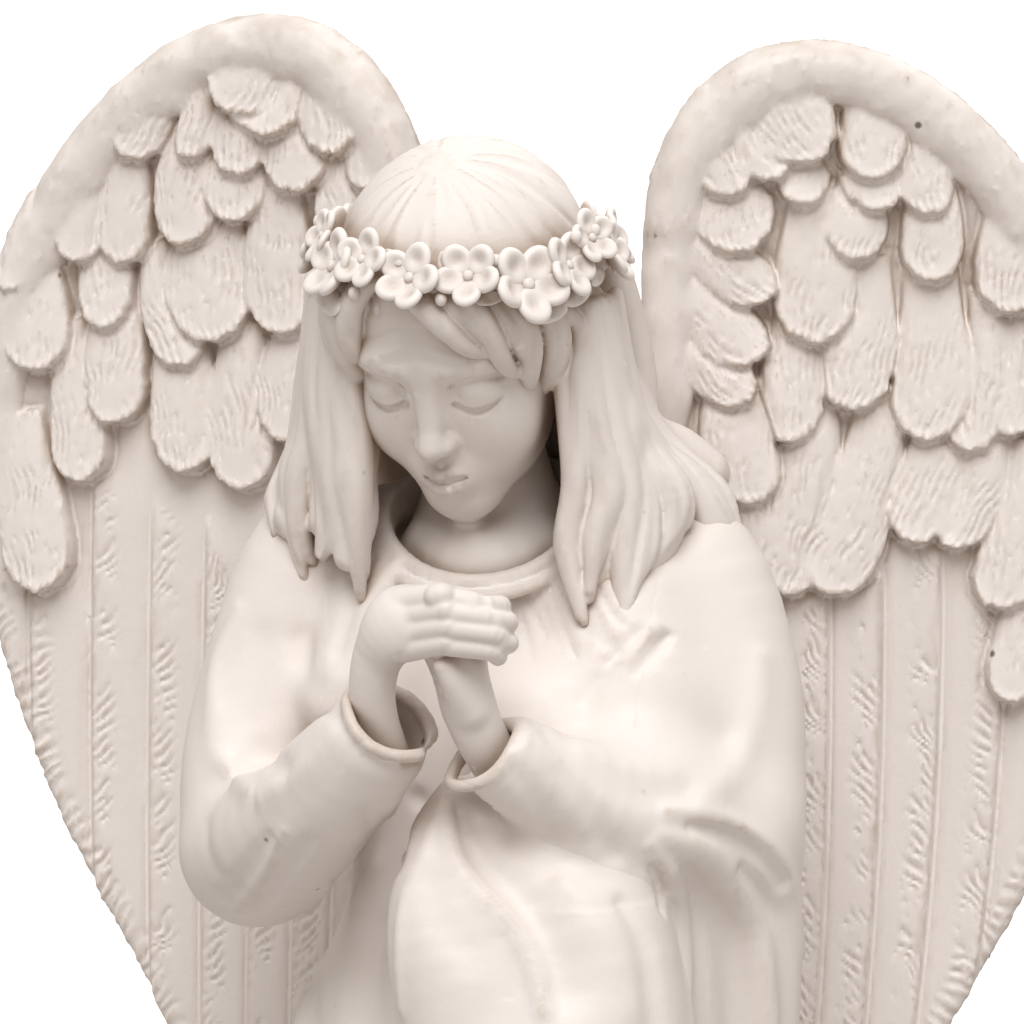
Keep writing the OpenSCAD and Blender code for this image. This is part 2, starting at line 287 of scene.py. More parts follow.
def joinSoft(a, b, soft):
    if soft <= 0:
        return np.minimum(a, b)
    h = np.clip(0.5 + 0.5 * (a - b) / soft, 0, 1)
    return a * (1 - h) + b * h - soft * h * (1 - h)


def onSpan(a, b, c, d, t):
    # the smooth curve from b to c, led by its neighbours a and d
    return 0.5 * (2 * b + (c - a) * t + (2 * a - 5 * b + 4 * c - d) * t * t
                  + (3 * b - a - 3 * c + d) * t ** 3)


def curveThrough(points, steps):
    # a smooth curve through given points, which may carry their radius as a fourth number
    p = np.array(points, dtype=float)
    n = len(p)
    out = [onSpan(p[max(i - 1, 0)], p[i], p[i + 1], p[min(i + 2, n - 1)], s / steps)
           for i in range(n - 1) for s in range(steps)]
    out.append(p[-1])
    return np.array(out)


class Clay:
    def __init__(self, low, high, spacing):
        self.spacing = spacing
        self.step = spacing * 1
        self.low = np.array(low, dtype=float)
        counts = np.ceil((np.array(high, dtype=float) - self.low) / self.step).astype(int) + 1
        self.axes = [(self.low[i] + self.step * np.arange(counts[i])).astype(np.float32) for i in range(3)]
        self.field = np.full(counts, 12.0, dtype=np.float32)

    def window(self, low, high):
        cut = []
        for i in range(3):
            n = len(self.axes[i])
            first = int(np.clip(math.floor((low[i] - self.low[i]) / self.step), 0, n))
            last = int(np.clip(math.ceil((high[i] - self.low[i]) / self.step) + 1, 0, n))
            cut.append(slice(first, last))
        x, y, z = (self.axes[i][cut[i]] for i in range(3))
        return tuple(cut), x[:, None, None], y[None, :, None], z[None, None, :]

    def press(self, cut, shape, soft, carve):
        if carve:
            self.field[cut] = -joinSoft(-self.field[cut], shape, soft)
        else:
            self.field[cut] = joinSoft(self.field[cut], shape, soft)

    def shape(self, distance, low, high, soft=0.0, carve=False):
        cut, x, y, z = self.window(np.array(low) - soft, np.array(high) + soft)
        if self.field[cut].size:
            self.press(cut, distance(x, y, z).astype(np.float32), soft, carve)

    def egg(self, at, radii, soft=0.0, carve=False, turn=None):
        at, radii = np.array(at, dtype=float), np.array(radii, dtype=float)
        reach = radii.max() + soft
        cut, x, y, z = self.window(at - reach, at + reach)
        if not self.field[cut].size:
            return
        dx, dy, dz = x - at[0], y - at[1], z - at[2]
        if turn is not None:
            m = Matrix.Rotation(math.radians(turn[2]), 3, "Z") @ Matrix.Rotation(
                math.radians(turn[1]), 3, "Y") @ Matrix.Rotation(math.radians(turn[0]), 3, "X")
            dx, dy, dz = (m[0][i] * dx + m[1][i] * dy + m[2][i] * dz for i in range(3))
        near = np.sqrt((dx / radii[0]) ** 2 + (dy / radii[1]) ** 2 + (dz / radii[2]) ** 2)
        far = np.sqrt((dx / radii[0] ** 2) ** 2 + (dy / radii[1] ** 2) ** 2 + (dz / radii[2] ** 2) ** 2)
        self.press(cut, (near * (near - 1) / np.maximum(far, 1e-5)).astype(np.float32), soft, carve)

    def strand(self, points, soft=0.0, carve=False, steps=4, flat=1.0):
        # a tapered rod through points that carry their radii
        p = curveThrough(points, steps)
        radii = np.maximum(p[:, 3], 0.05)
        reach = radii.max() / min(flat, 1) + soft + self.step
        cut, x, y, z = self.window(p[:, :3].min(0) - reach, p[:, :3].max(0) + reach)
        if not self.field[cut].size:
            return
        rod = np.full(self.field[cut].shape, 12.0, dtype=np.float32)
        start = [cut[i].start for i in range(3)]
        for i in range(len(p) - 1):
            a, b, ra, rb = p[i, :3], p[i + 1, :3], radii[i], radii[i + 1]
            span = max(ra, rb) / min(flat, 1) + soft + self.step
            sub, x, y, z = self.window(np.minimum(a, b) - span, np.maximum(a, b) + span)
            sub = tuple(slice(max(s.start - o, 0), max(s.stop - o, 0)) for s, o in zip(sub, start))
            if not rod[sub].size:
                continue
            along = b - a
            length = max(float(along @ along), 1e-9)
            t = (x - a[0]) * along[0] + (y - a[1]) * along[1] + (z - a[2]) * along[2]
            t = np.clip(t / length, 0, 1)
            d = np.sqrt((x - a[0] - t * along[0]) ** 2 + (y - a[1] - t * along[1]) ** 2
                        + (z - a[2] - t * along[2]) ** 2) - (ra + (rb - ra) * t)
            rod[sub] = np.minimum(rod[sub], d)
        self.press(cut, rod, soft, carve)

    def stroke(self, points, amount, steps=5):
        # swells the surface along a path, or sinks it when the amount is negative
        # the fourth number of each point is the width
        p = curveThrough(points, steps)
        wide = np.maximum(p[:, 3], 0.2)
        reach = wide.max() * 2.2
        cut, x, y, z = self.window(p[:, :3].min(0) - reach, p[:, :3].max(0) + reach)
        if not self.field[cut].size:
            return
        near = np.full(self.field[cut].shape, 9.0, dtype=np.float32)
        start = [cut[i].start for i in range(3)]
        for i in range(len(p) - 1):
            a, b, w = p[i, :3], p[i + 1, :3], 0.5 * (wide[i] + wide[i + 1])
            sub, x, y, z = self.window(np.minimum(a, b) - 2.2 * w, np.maximum(a, b) + 2.2 * w)
            sub = tuple(slice(max(c.start - o, 0), max(c.stop - o, 0)) for c, o in zip(sub, start))
            if not near[sub].size:
                continue
            along = b - a
            t = np.clip(((x - a[0]) * along[0] + (y - a[1]) * along[1] + (z - a[2]) * along[2])
                        / max(float(along @ along), 1e-9), 0, 1)
            d = ((x - a[0] - t * along[0]) ** 2 + (y - a[1] - t * along[1]) ** 2
                 + (z - a[2] - t * along[2]) ** 2) / w ** 2
            near[sub] = np.minimum(near[sub], d)
        self.field[cut] -= (amount * np.exp(-near)).astype(np.float32)

    def onSurface(self, right, up, first=-90, last=60):
        # where the viewer's line through a place on the facing plane meets the clay
        for y in np.arange(first, last, 0.4):
            place = facing(right, up, y)
            i = [int(round((place[k] - self.low[k]) / self.step)) for k in range(3)]
            if all(0 <= i[k] < self.field.shape[k] for k in range(3)) and self.field[tuple(i)] < 0:
                return place
        return facing(right, up, 0)

    def sketch(self, points, amount, steps=5):
        # a stroke given on the facing plane: right, up, width
        self.stroke([(*self.onSurface(right, up), width) for right, up, width in points], amount, steps)

    def skin(self, name, place=None, adapt=0.0):
        band = 3 * self.step
        grid = openvdb.FloatGrid(band)
        block = np.clip(self.field, -band, band)
        for axis in range(3):       # the block's own faces stay air, so the skin is closed
            edge = [slice(None)] * 3
            for end in (0, -1):
                edge[axis] = end
                block[tuple(edge)] = np.maximum(block[tuple(edge)], 0.2 * self.step)
        grid.copyFromArray(block)
        points, triangles, quads = grid.convertToPolygons(isovalue=0, adaptivity=adapt)
        points = points * self.step + self.low
        if place is not None:
            m = np.array(place)
            points = points @ m[:3, :3].T + m[:3, 3]
        return meshPiece(name, points, triangles, quads)


def meshPiece(name, points, triangles, quads):
    mesh = bpy.data.meshes.new(name)
    mesh.vertices.add(len(points))
    mesh.vertices.foreach_set("co", (points * mm).astype(np.float32).ravel())
    loops = np.concatenate([triangles[:, ::-1].ravel(), quads[:, ::-1].ravel()]).astype(np.int32)
    sizes = np.concatenate([np.full(len(triangles), 3), np.full(len(quads), 4)]).astype(np.int32)
    mesh.loops.add(len(loops))
    mesh.loops.foreach_set("vertex_index", loops)
    mesh.polygons.add(len(sizes))
    mesh.polygons.foreach_set("loop_start", (np.cumsum(sizes) - sizes).astype(np.int32))
    mesh.polygons.foreach_set("use_smooth", np.ones(len(sizes), dtype=bool))
    mesh.update(calc_edges=True)
    mesh.validate()
    piece = bpy.data.objects.new(name, mesh)
    bpy.context.collection.objects.link(piece)
    print(name, len(triangles) + 2 * len(quads), "triangles")
    return piece


# wings

wing = {
    "steps": (0.34, 0.42, 0.6),    # across, deep, high
    "backSteps": (0.6, 0.6, 0.75),
    "sweep": 10,
    "faceY": 36,             # the blade's front at the root
    "thick": 6,
    "outline": [(9, 196), (20, 222), (21, 250), (23, 267), (30, 281), (41, 289.5), (54, 292), (67, 289.5),
                (78, 284), (88, 275.5), (98, 264), (108, 249), (115, 228), (117, 204), (113, 168),
                (100, 131), (81, 95), (61, 54), (44, 24), (35, 30), (24, 80), (12, 140)],
    "rim": [(14, 190), (24, 214), (26, 246), (28, 264), (35, 276), (44, 283.5), (54, 286), (66, 283.5),
            (76, 278), (85, 270), (94, 258), (103, 243), (109, 226), (110.5, 205), (108, 178)],
    "topLeft": 289, "topRight": 297, "topDrawn": 290,
}

# coverts, the lowest first: root across and up, tip across and up, half width, bow
covertsRight = [
    (107, 208, 101, 176, 6.7, 0.0), (95, 227, 93, 198, 5.3, 0.0), (73, 228, 71, 201, 6.7, 0.0),
    (60, 228, 59, 198, 6.4, 0.0), (48, 231, 50, 208, 6.0, 0.0), (34, 226, 38, 204, 6.0, 0.0),
    (103, 241, 102, 220, 6.5, 0.0), (86, 237, 86, 210, 5.5, 0.0), (78, 243, 71, 222, 5.3, -0.8),
    (66, 250, 66, 227, 8.4, 0.0), (52, 258, 50, 229, 6.6, -0.6), (38, 254, 40, 232, 5.6, 0.0),
    (88, 248, 88, 229, 5.1, 0.0), (90, 263, 94, 242, 4.7, 0.8), (83, 264, 84, 242, 4.9, 0.0),
    (71, 267, 71, 246, 6.1, 0.0), (60, 264, 61, 251, 6.1, 0.0), (105, 253, 107, 236, 4.3, 0.0),
    (38, 264, 38, 248, 5.0, 0.0), (74, 277, 83, 263, 4.5, 0.6), (67, 276, 70, 263, 3.7, 0.6),
    (59, 273, 59, 260, 5.7, 0.0), (48, 270, 47, 257, 6.4, 0.0), (53, 279, 53, 268, 8.4, 0.0),
    (34, 271, 31, 258, 4.3, 0.0), (41, 277, 38, 265, 5.8, -0.6), (55, 284, 62, 273, 7.0, 1.0),
]
covertsLeft = [
    (43, 216, 46, 184, 4.7, 0.0), (54, 221, 49, 184, 6.6, 1.6), (68, 221, 57, 184, 6.3, 1.8),
    (108, 200, 104, 172, 5.2, 0.6), (98, 189, 92, 163, 5.1, 0.8), (96, 211, 90, 181, 5.7, 0.6),
    (89, 216, 81, 193, 4.9, 1.0), (79, 217, 73, 194, 5.7, 1.2), (107, 236, 105, 210, 5.0, 0.0),
    (100, 240, 98, 217, 4.1, 0.0), (94, 237, 92, 215, 3.9, 0.6), (88, 239, 84, 212, 4.7, 1.0),
    (77, 244, 76, 214, 6.7, 0.6), (64, 247, 61, 220, 6.6, 0.8), (51, 235, 49, 214, 6.0, 0.0),
    (38, 225, 43, 202, 6.6, -1.2), (27, 238, 42, 222, 5.1, -1.8), (100, 252, 101, 232, 4.6, 0.0),
    (92, 257, 92, 239, 6.3, 0.0), (55, 260, 54, 233, 7.2, 0.0), (28, 249, 44, 230, 5.6, -2.1),
    (28, 259, 46, 242, 5.1, -2.1), (77, 264, 77, 245, 5.5, 0.0), (63, 263, 62, 249, 5.5, 0.0),
    (37, 263, 41, 251, 7.4, -0.4), (65, 267, 67, 259, 6.1, 0.0), (74, 271, 77, 258, 4.9, -0.4),
    (52, 267, 52, 260, 4.9, 0.0), (32, 279, 39, 262, 5.3, -1.0), (41, 280, 47, 265, 5.3, -1.2),
    (64, 277, 66, 265, 6.1, 0.0), (46, 285, 55, 269, 7.4, -1.6),
]


def closedCurve(points, steps):
    p = np.array(points, dtype=float)
    n = len(p)
    return np.array([onSpan(p[i - 1], p[i], p[(i + 1) % n], p[(i + 2) % n], s / steps)
                     for i in range(n) for s in range(steps)])


def outlineDistance(u, v, points):
    # signed distance to a closed outline, inside negative
    best = np.full(u.shape, 1e6, dtype=np.float32)
    inside = np.zeros(u.shape, dtype=bool)
    for a, b in zip(points, np.roll(points, -1, axis=0)):
        along = b - a
        t = np.clip(((u - a[0]) * along[0] + (v - a[1]) * along[1]) / max(along @ along, 1e-9), 0, 1)
        best = np.minimum(best, (u - a[0] - t * along[0]) ** 2 + (v - a[1] - t * along[1]) ** 2)
        crosses = ((a[1] > v) != (b[1] > v)) & (u < (b[0] - a[0]) * (v - a[1]) / (b[1] - a[1] + 1e-12) + a[0])
        inside ^= crosses
    best = np.sqrt(best)
    return np.where(inside, -best, best)


def softNoise(shape, steps, size, seed):
    # smooth random field with bumps about so many millimetres wide
    rng = np.random.RandomState(seed)
    grain = np.fft.rfft2(rng.normal(size=shape))
    fu = np.fft.fftfreq(shape[0], steps[0])[:, None]
    fv = np.fft.rfftfreq(shape[1], steps[1])[None, :]
    grain = np.fft.irfft2(grain * np.exp(-(fu ** 2 + fv ** 2) * size ** 2 * 3.2), s=shape)
    return (grain / grain.std()).astype(np.float32)


class Relief:
    # the height of a wing's face over the blade, on a plane grid
    def __init__(self, u, v, seed):
        self.u, self.v = u.astype(np.float32), v.astype(np.float32)
        self.height = np.zeros((len(u), len(v)), dtype=np.float32)
        steps = (u[1] - u[0], v[1] - v[0])
        self.rough = softNoise(self.height.shape, steps, 1.3, seed)
        self.drift = softNoise(self.height.shape, steps, 5.0, seed + 1)

    def window(self, low, high):
        cut = []
        for axis, first, last in zip((self.u, self.v), low, high):
            cut.append(slice(int(np.searchsorted(axis, first)), int(np.searchsorted(axis, last))))
        return tuple(cut), self.u[cut[0]][:, None], self.v[cut[1]][None, :]

    def feather(self, rng, root, tip, half, bow, rise, crown=1.3, pitch=1.35, depth=0.42):
        root, tip = np.array(root, dtype=float), np.array(tip, dtype=float)
        length = np.linalg.norm(tip - root)
        axis = (tip - root) / length
        side = np.array([-axis[1], axis[0]])
        margin = half + abs(bow) + 3
        cut, u, v = self.window(np.minimum(root, tip) - margin, np.maximum(root, tip) + margin)
        if not self.height[cut].size:
            return
        rough, drift = self.rough[cut], self.drift[cut]
        s = (u - root[0]) * axis[0] + (v - root[1]) * axis[1]
        t = (u - root[0]) * side[0] + (v - root[1]) * side[1]
        k = np.clip(s / length, 0, 1)
        t = t - bow * 4 * k * (1 - k)
        width = half * (0.72 + 0.28 * smooth01(k * 1.8))
        start = max(length - half * 1.15, 0.2 * length)
        edge = np.where(s < start, np.abs(t) - width,
                        (np.sqrt(((s - start) / (length - start)) ** 2 + (t / half) ** 2) - 1) * half)
        edge = edge + 0.16 * rough * smooth01((k - 0.35) * 2)
        edge = np.maximum(edge, -s - 1.0)
        across = np.clip(t / width, -1, 1)
        slant = rng.uniform(-0.22, 0.30)
        lines = t * (1.0 - 0.22 * k) + slant * s * 0.5 + 0.42 * drift + 0.05 * rough + np.sign(t) * 0.06 * s
        groove = (0.5 + 0.5 * np.sin(lines * 2 * math.pi / pitch)) ** 1.4
        groove = groove * np.clip(0.62 + 0.3 * rough + 0.25 * drift, 0.05, 1.15)
        groove = groove * (0.45 + 0.55 * smooth01(k * 1.7))
        shaft = np.exp(-(t / 0.5) ** 2) * (1 - 0.7 * k) * 0.22
        lip = 0.35 * np.exp(-((edge + 0.9) / 0.8) ** 2) * smooth01((k - 0.5) * 3)
        height = (rise[0] + (rise[1] - rise[0]) * k ** 0.8 + crown * (1 - np.abs(across) ** 2.2) + lip
                  + rng.uniform(-0.25, 0.35) * across - depth * groove - shaft)
        cover = smooth01(-edge / 0.75 + 0.2)
        gap = np.exp(-((edge - 0.5) / 0.75) ** 2) * (edge > -0.2)
        old = self.height[cut]
        self.height[cut] = (old - 0.55 * gap) * (1 - cover) + np.maximum(height, old * 0.5) * cover


def lerp(a, b, t):
    return np.array(a, dtype=float) * (1 - t) + np.array(b, dtype=float) * t


def curveAt(points, t):
    # a point on the bow through three points
    a, b, c = (np.array(p, dtype=float) for p in points)
    return a * (1 - t) ** 2 + (4 * b - a - c) / 2 * 2 * t * (1 - t) + c * t * t


def flightFeathers(relief, rng, side, roots, tips, count, dashes=1.0):
    # long feathers edge over edge, each with a crisp outer edge and a column of slanting dashes
    u, v = relief.u[:, None], relief.v[None, :]
    for i in range(count):
        t = i / (count - 1)
        root, tip = curveAt(roots, t), curveAt(tips, t)
        length = float(np.linalg.norm(tip - root))
        k = np.clip((root[1] - v) / max(root[1] - tip[1], 1), 0, 1.15)
        line = root[0] + (tip[0] - root[0]) * k ** 1.35 + (2.5 if side > 0 else 1.0) * np.sin(k * math.pi)
        across = u - line
        wide = length * 0.055
        step = 1.1 * smooth01(-across / 0.7) * np.exp(across / (wide * 1.2) * (across < 0))
        below = smooth01(k * 12)
        relief.height += 0.9 * step * below
        relief.height -= 0.55 * np.exp(-((across - 0.5) / 0.55) ** 2) * below
        column = np.exp(-((across + wide * 0.42) / (wide * 0.30)) ** 2)
        slope = v + 1.15 * across * (1 - 0.5 * k) + 1.1 * relief.drift
        dash = (0.5 + 0.5 * np.sin(slope * 2 * math.pi / 2.35)) ** 2
        patch = smooth01(0.75 + 0.8 * relief.drift + 0.35 * relief.rough)
        relief.height -= dashes * 0.6 * dash * column * patch * below
        faint = (0.5 + 0.5 * np.sin((u * 0.96 + 0.22 * v + 0.7 * relief.drift) * 2 * math.pi / 1.5)) ** 2
        relief.height -= 0.05 * faint * (np.abs(across + wide) < wide)


def wingFront(relief, side, rng):
    flightFeathers(relief, rng, side, [(30, 196), (68, 196), (118, 214)],
                   [(30, 24), (58, 34), (112, 128)] if side > 0 else [(36, 22), (70, 40), (116, 120)], 9)
    for a, b, c, d, half, bow in (covertsLeft if side > 0 else covertsRight):
        relief.feather(rng, (a, b + 3), (c, d), half * 1.14, bow * side, (0.3, 2.6 + 0.14 * half))


def wingBack(relief, side, rng):
    flightFeathers(relief, rng, side, [(28, 196), (66, 196), (114, 206)], [(32, 24), (62, 40), (112, 124)],
                   8)
    for count, roots, tips in ((7, [(22, 214), (64, 208), (108, 212)], [(30, 160), (66, 152), (108, 158)]),
                               (7, [(24, 246), (62, 244), (106, 232)], [(32, 196), (66, 188), (108, 186)]),
                               (6, [(34, 272), (58, 274), (96, 256)], [(36, 228), (64, 224), (100, 214)])):
        for i in reversed(range(count)):
            root, tip = curveAt(roots, i / (count - 1)), curveAt(tips, i / (count - 1))
            relief.feather(rng, root + rng.uniform(-1, 1), tip + rng.uniform(-1.5, 1.5),
                           rng.uniform(7.2, 8.4),
                           rng.uniform(-1, 1), (0.3, 2.2), crown=0.9, pitch=1.9, depth=0.3)


def makeWingFace(name, side, front):
    # one face of a wing, from the middle of the blade out to its relief
    steps = np.array(wing["steps"] if front else wing["backSteps"]) * 1
    low, high = np.array([3, -10, 16.0]), np.array([124, 1.2, 300.0])
    across, deep, up = (np.arange(low[i], high[i], steps[i]).astype(np.float32) for i in range(3))
    relief = Relief(across, up, 11 + 5 * side + (0 if front else 40))
    rng = random.Random(7 + 3 * side + (0 if front else 20))
    (wingFront if front else wingBack)(relief, side, rng)
    u, v = across[:, None] + 0 * up[None, :], up[None, :] + 0 * across[:, None]
    border = outlineDistance(u, v, closedCurve(wing["outline"], 6)).astype(np.float32)
    # slanted nicks along the free edge
    nick = (0.5 + 0.5 * np.sin((v * 0.8 + u * 0.7 + 0.8 * relief.drift) * 2 * math.pi / 2.9)) ** 1.5
    free = smooth01((186 - v) / 20)
    border = border + 0.14 * nick * free + 0.12 * relief.rough
    relief.height -= 0.42 * nick * free * smooth01((border + 6.5) / 2.5) * smooth01(-border / 1.6)
    rim = curveThrough([(a, b, 0, 0) for a, b in wing["rim"]], 6)[:, :2]
    rimGap = np.full(u.shape, 1e6, dtype=np.float32)
    rimAt = np.zeros(u.shape, dtype=np.float32)
    travelled = 0.0
    for a, b in zip(rim[:-1], rim[1:]):
        along = b - a
        length = float(np.hypot(*along))
        t = np.clip(((u - a[0]) * along[0] + (v - a[1]) * along[1]) / length ** 2, 0, 1)
        gap = np.hypot(u - a[0] - t * along[0], v - a[1] - t * along[1])
        nearer = gap < rimGap
        rimGap = np.where(nearer, gap, rimGap)
        rimAt = np.where(nearer, travelled + t * length, rimAt)
        travelled += length
    ends = smooth01(rimAt / 40) * (1 - smooth01((rimAt - travelled * 0.72) / (travelled * 0.28)))
    half = 3.2 + 2.8 * ends + 0.5 * relief.drift * ends
    lump = 0.12 * relief.drift + 0.07 * relief.rough
    roll = np.sqrt(np.clip(1 - (rimGap / half) ** 2, 0, 1)) * (1.2 + (2.9 if front else 1.6) * ends)
    streak = (0.5 + 0.5 * np.sin((rimGap * 1.0 + 0.25 * rimAt + 0.8 * relief.drift) * 2 * math.pi / 1.9)) ** 2
    roll = roll - 0.14 * streak * (roll > 0.4) * smooth01(relief.drift + 0.4)
    height = relief.height
    roll = np.where(roll > 0.02, roll + lump, -9)
    height = -joinSoft(-height, -roll, 0.5)
    surface = 2.8 + height
    top = (-deep)[None, :, None] - surface[:, None, :]
    body = -joinSoft(-top, -border[:, None, :], 3.4)
    field = np.maximum(body, (deep - 0.6)[None, :, None] + 0 * body).astype(np.float32)
    band = 3 * float(steps.max())
    grid = openvdb.FloatGrid(band)
    grid.copyFromArray(np.clip(field, -band, band))
    points, triangles, quads = grid.convertToPolygons(isovalue=0, adaptivity=0.1)
    points = points * steps + low
    away, out, tall = points[:, 0].copy(), points[:, 1].copy(), points[:, 2].copy()
    if not front:
        out = -out
    # the blade bows: its top and its outer edge come forward a little
    out = (out - 3.0 * smooth01((tall - 235) / 60) - 3.5 * smooth01((away - 70) / 45)
           + 2.0 * smooth01((away - 20) / 50))
    a = math.radians(wing["sweep"])
    points[:, 0] = side * (away * math.cos(a) - out * math.sin(a))
    points[:, 1] = wing["faceY"] + wing["thick"] / 2 + away * math.sin(a) + out * math.cos(a)
    points[:, 2] = tall + ((wing["topLeft"] if side > 0 else wing["topRight"]) - wing["topDrawn"]) * 0.5
    if (side < 0) != (not front):
        triangles, quads = triangles[:, ::-1], quads[:, ::-1]
    piece = meshPiece(name, points, triangles, quads)
    finishPiece(piece, "left_wing" if side > 0 else "right_wing", resin["feather"])


# the robe and both sleeves are sculpted as one, then parted where the castings meet

robe = {
    "step": 0.72,
    "levels": [(13, -6, 59.5, 57.5), (34, -5, 55, 54), (62, -2, 49, 45), (92, 3, 41, 36), (116, 7, 35, 29),
               (136, 9, 30, 22.5), (162, 8, 33, 23), (184, 8, 35, 23), (196, 8.5, 34, 21),
               (205, 9.5, 27, 15), (214, 11, 12, 9)],
    "foldCount": 13,
    "foldDepth": 2.6,
}


def sculptCloth():
    clay = Clay((-70, -74, 13), (68, 54, 216), robe["step"])
    x, y, z = clay.axes
    levels = curveThrough([(*level[1:],  level[0]) for level in robe["levels"]], 8)
    height = levels[:, 3]
    middle, wide, deep = (np.interp(z, height, levels[:, i]) for i in range(3))
    dx, dy = x[:, None, None], y[None, :, None] - middle[None, None, :]
    around = np.arctan2(dy, dx + 0 * dy)
    low = smooth01((118 - z) / 90)[None, None, :]
    sway = 0.5 * np.sin(z * 0.045)[None, None, :]
    fold = np.cos(robe["foldCount"] * around + 2.2 * sway) + 0.45 * np.cos(
        (robe["foldCount"] * 2 - 5) * around - 3 * sway + 1)
    out = robe["foldDepth"] * low * fold
    flare = 2.0 * smooth01((34 - z) / 16)[None, None, :] * np.cos(robe["foldCount"] * around + 0.9)
    a, b = wide[None, None, :] + out + flare, deep[None, None, :] + out + flare
    near = np.sqrt((dx / a) ** 2 + (dy / b) ** 2)
    far = np.sqrt((dx / a ** 2) ** 2 + (dy / b ** 2) ** 2)
    side = (near * (near - 1) / np.maximum(far, 1e-5)) * 0.94
    level = np.maximum(15.6 - z, z - 213)[None, None, :]
    clay.field = -joinSoft(-side, -level + 0 * side, 1.2).astype(np.float32)

    # legs under the cloth: the left knee is up, the right one rests on the plinth
    clay.strand([(16, 0, 104, 20), (17, -22, 108, 18), (16, -43, 108, 14.5)], soft=14)
    clay.strand([(15, -44, 108, 13), (15, -47, 72, 13), (16, -46, 34, 14), (17, -44, 20, 13)], soft=16)
    clay.strand([(-18, 2, 96, 20), (-22, -20, 66, 18), (-24, -36, 36, 17), (-26, -38, 22, 15)], soft=14)
    clay.strand([(-22, -36, 30, 10), (-34, 4, 26, 13), (-30, 36, 24, 12)], soft=14)
    # cloth pulled tight from the raised knee
    for start, end, r in (((8, -52, 116), (-34, -34, 34), 2.6), ((2, -50, 112), (-48, -12, 30), 2.4),
                          ((10, -57, 108), (-12, -50, 26), 2.5), ((14, -60, 104), (4, -60, 24), 2.4),
                          ((22, -57, 104), (24, -60, 24), 2.6), ((27, -50, 108), (42, -44, 24), 2.6),
                          ((30, -42, 110), (54, -22, 28), 2.4)):
        mid = lerp(start, end, 0.5) + np.array([0, 5, 5])
        clay.strand([(*start, r * 0.6), (*mid, r), (*end, r * 1.3)], soft=4.5)
    # the body under the crossed forearms, and the panel of cloth that falls over the lap
    clay.strand([(10, -16, 168, 12), (14, -22, 152, 14), (18, -26, 136, 16), (20, -32, 116, 17)], soft=8)
    clay.strand([(-3.9, -33, 156.2, 3), (-4.2, -36, 149.4, 7), (-2.9, -39, 141.7, 11),
                 (-0.4, -42, 130.4, 14), (3, -43, 116, 15),
                 (8, -45, 88, 14), (12, -46, 52, 13), (14, -45, 24, 13)], soft=4)

    clay.strand([(6, -28, 151, 9), (14, -33, 142, 13.5), (20, -38, 129.3, 16), (23, -40, 112, 16.5)],
                soft=10)

    # shoulders and arms
    clay.strand([(-26, 8, 196, 12), (-37, 8, 193, 13.5), (-43, 4, 174, 14.5), (-46.5, -2, 156, 14.5),
                 (-46, -8, 141, 14)], soft=6)
    clay.strand([(-45, -10, 140, 13.2), (-38, -24, 146, 13), (-27, -37, 157, 11.5), (-17, -45, 168, 10.2)],
                soft=4.5)
    clay.strand([(26, 8, 195, 12), (35, 8, 192, 14), (40, 4, 174, 16), (42, -2, 158, 16),
                 (42, -8, 147, 15)],
                soft=9)
    clay.strand([(41, -12, 146, 13.5), (32, -26, 150, 12.5), (20, -38, 158, 10.5), (8, -47, 166, 8.6)],
                soft=5)
    # chest cloth that hangs between the upper arms and the waist
    clay.strand([(24, -6, 188, 11), (28, -13, 170, 13), (31, -18, 156, 13)], soft=10)
    clay.strand([(-20, -4, 188, 10), (-26, -12, 172, 10)], soft=8)
    # the wide left sleeve hangs from the elbow
    clay.strand([(45, -7, 148, 12), (45.5, -6, 122, 12.5), (44.5, -5, 92, 12)], soft=6)
    clay.strand([(36, -17, 146, 10), (36.5, -16, 122, 9.5), (35.5, -14, 92, 9)], soft=6)
    clay.strand([(45, -5, 100, 8), (44, -4, 86, 10)], soft=2, carve=True)

    # folds of the left sleeve fan out from the elbow
    for amount, path in (
            (1.1, [(29.4, -56.5, 1.6), (39.2, -57.7, 2.0), (47.7, -62.9, 2.0), (52.8, -71.6, 2.0),
                   (54.3, -82.5, 1.8)]),
            (-1.3, [(33.5, -59.6, 1.4), (40.7, -61.4, 1.8), (47.1, -65.2, 2.0), (50.9, -70.1, 1.6)]),
            (1.5, [(27.9, -61.1, 1.6), (35.4, -63.3, 2.0), (41.5, -70.1, 2.0), (46, -78.8, 2.1),
                   (48.2, -88.2, 2.1), (49.4, -103.3, 2.1)]),
            (-1.5, [(43.3, -67.5, 1.4), (48.2, -74.1, 2.2), (51.3, -82.5, 2.6), (52.2, -103.3, 2.8)]),
            (-2.3, [(33.5, -67.8, 1.4), (38.3, -76, 2.6), (41.7, -85.4, 3.6), (43, -103.3, 4.2)]),
            (1.1, [(26, -62.9, 1.2), (29.4, -67.8, 1.6), (31.3, -75, 1.8), (32.4, -85.4, 2.2),
                   (33.2, -103.3, 2.6)]),
            (-1.2, [(26.4, -67.1, 0.8), (27.9, -71.2, 1.0), (28.3, -75, 1.0)]),
            (-0.8, [(31.7, -66, 0.8), (33.9, -71.6, 1.3), (35.2, -82.5, 1.5), (35.8, -103.3, 1.7)])):
        clay.sketch(path, amount)
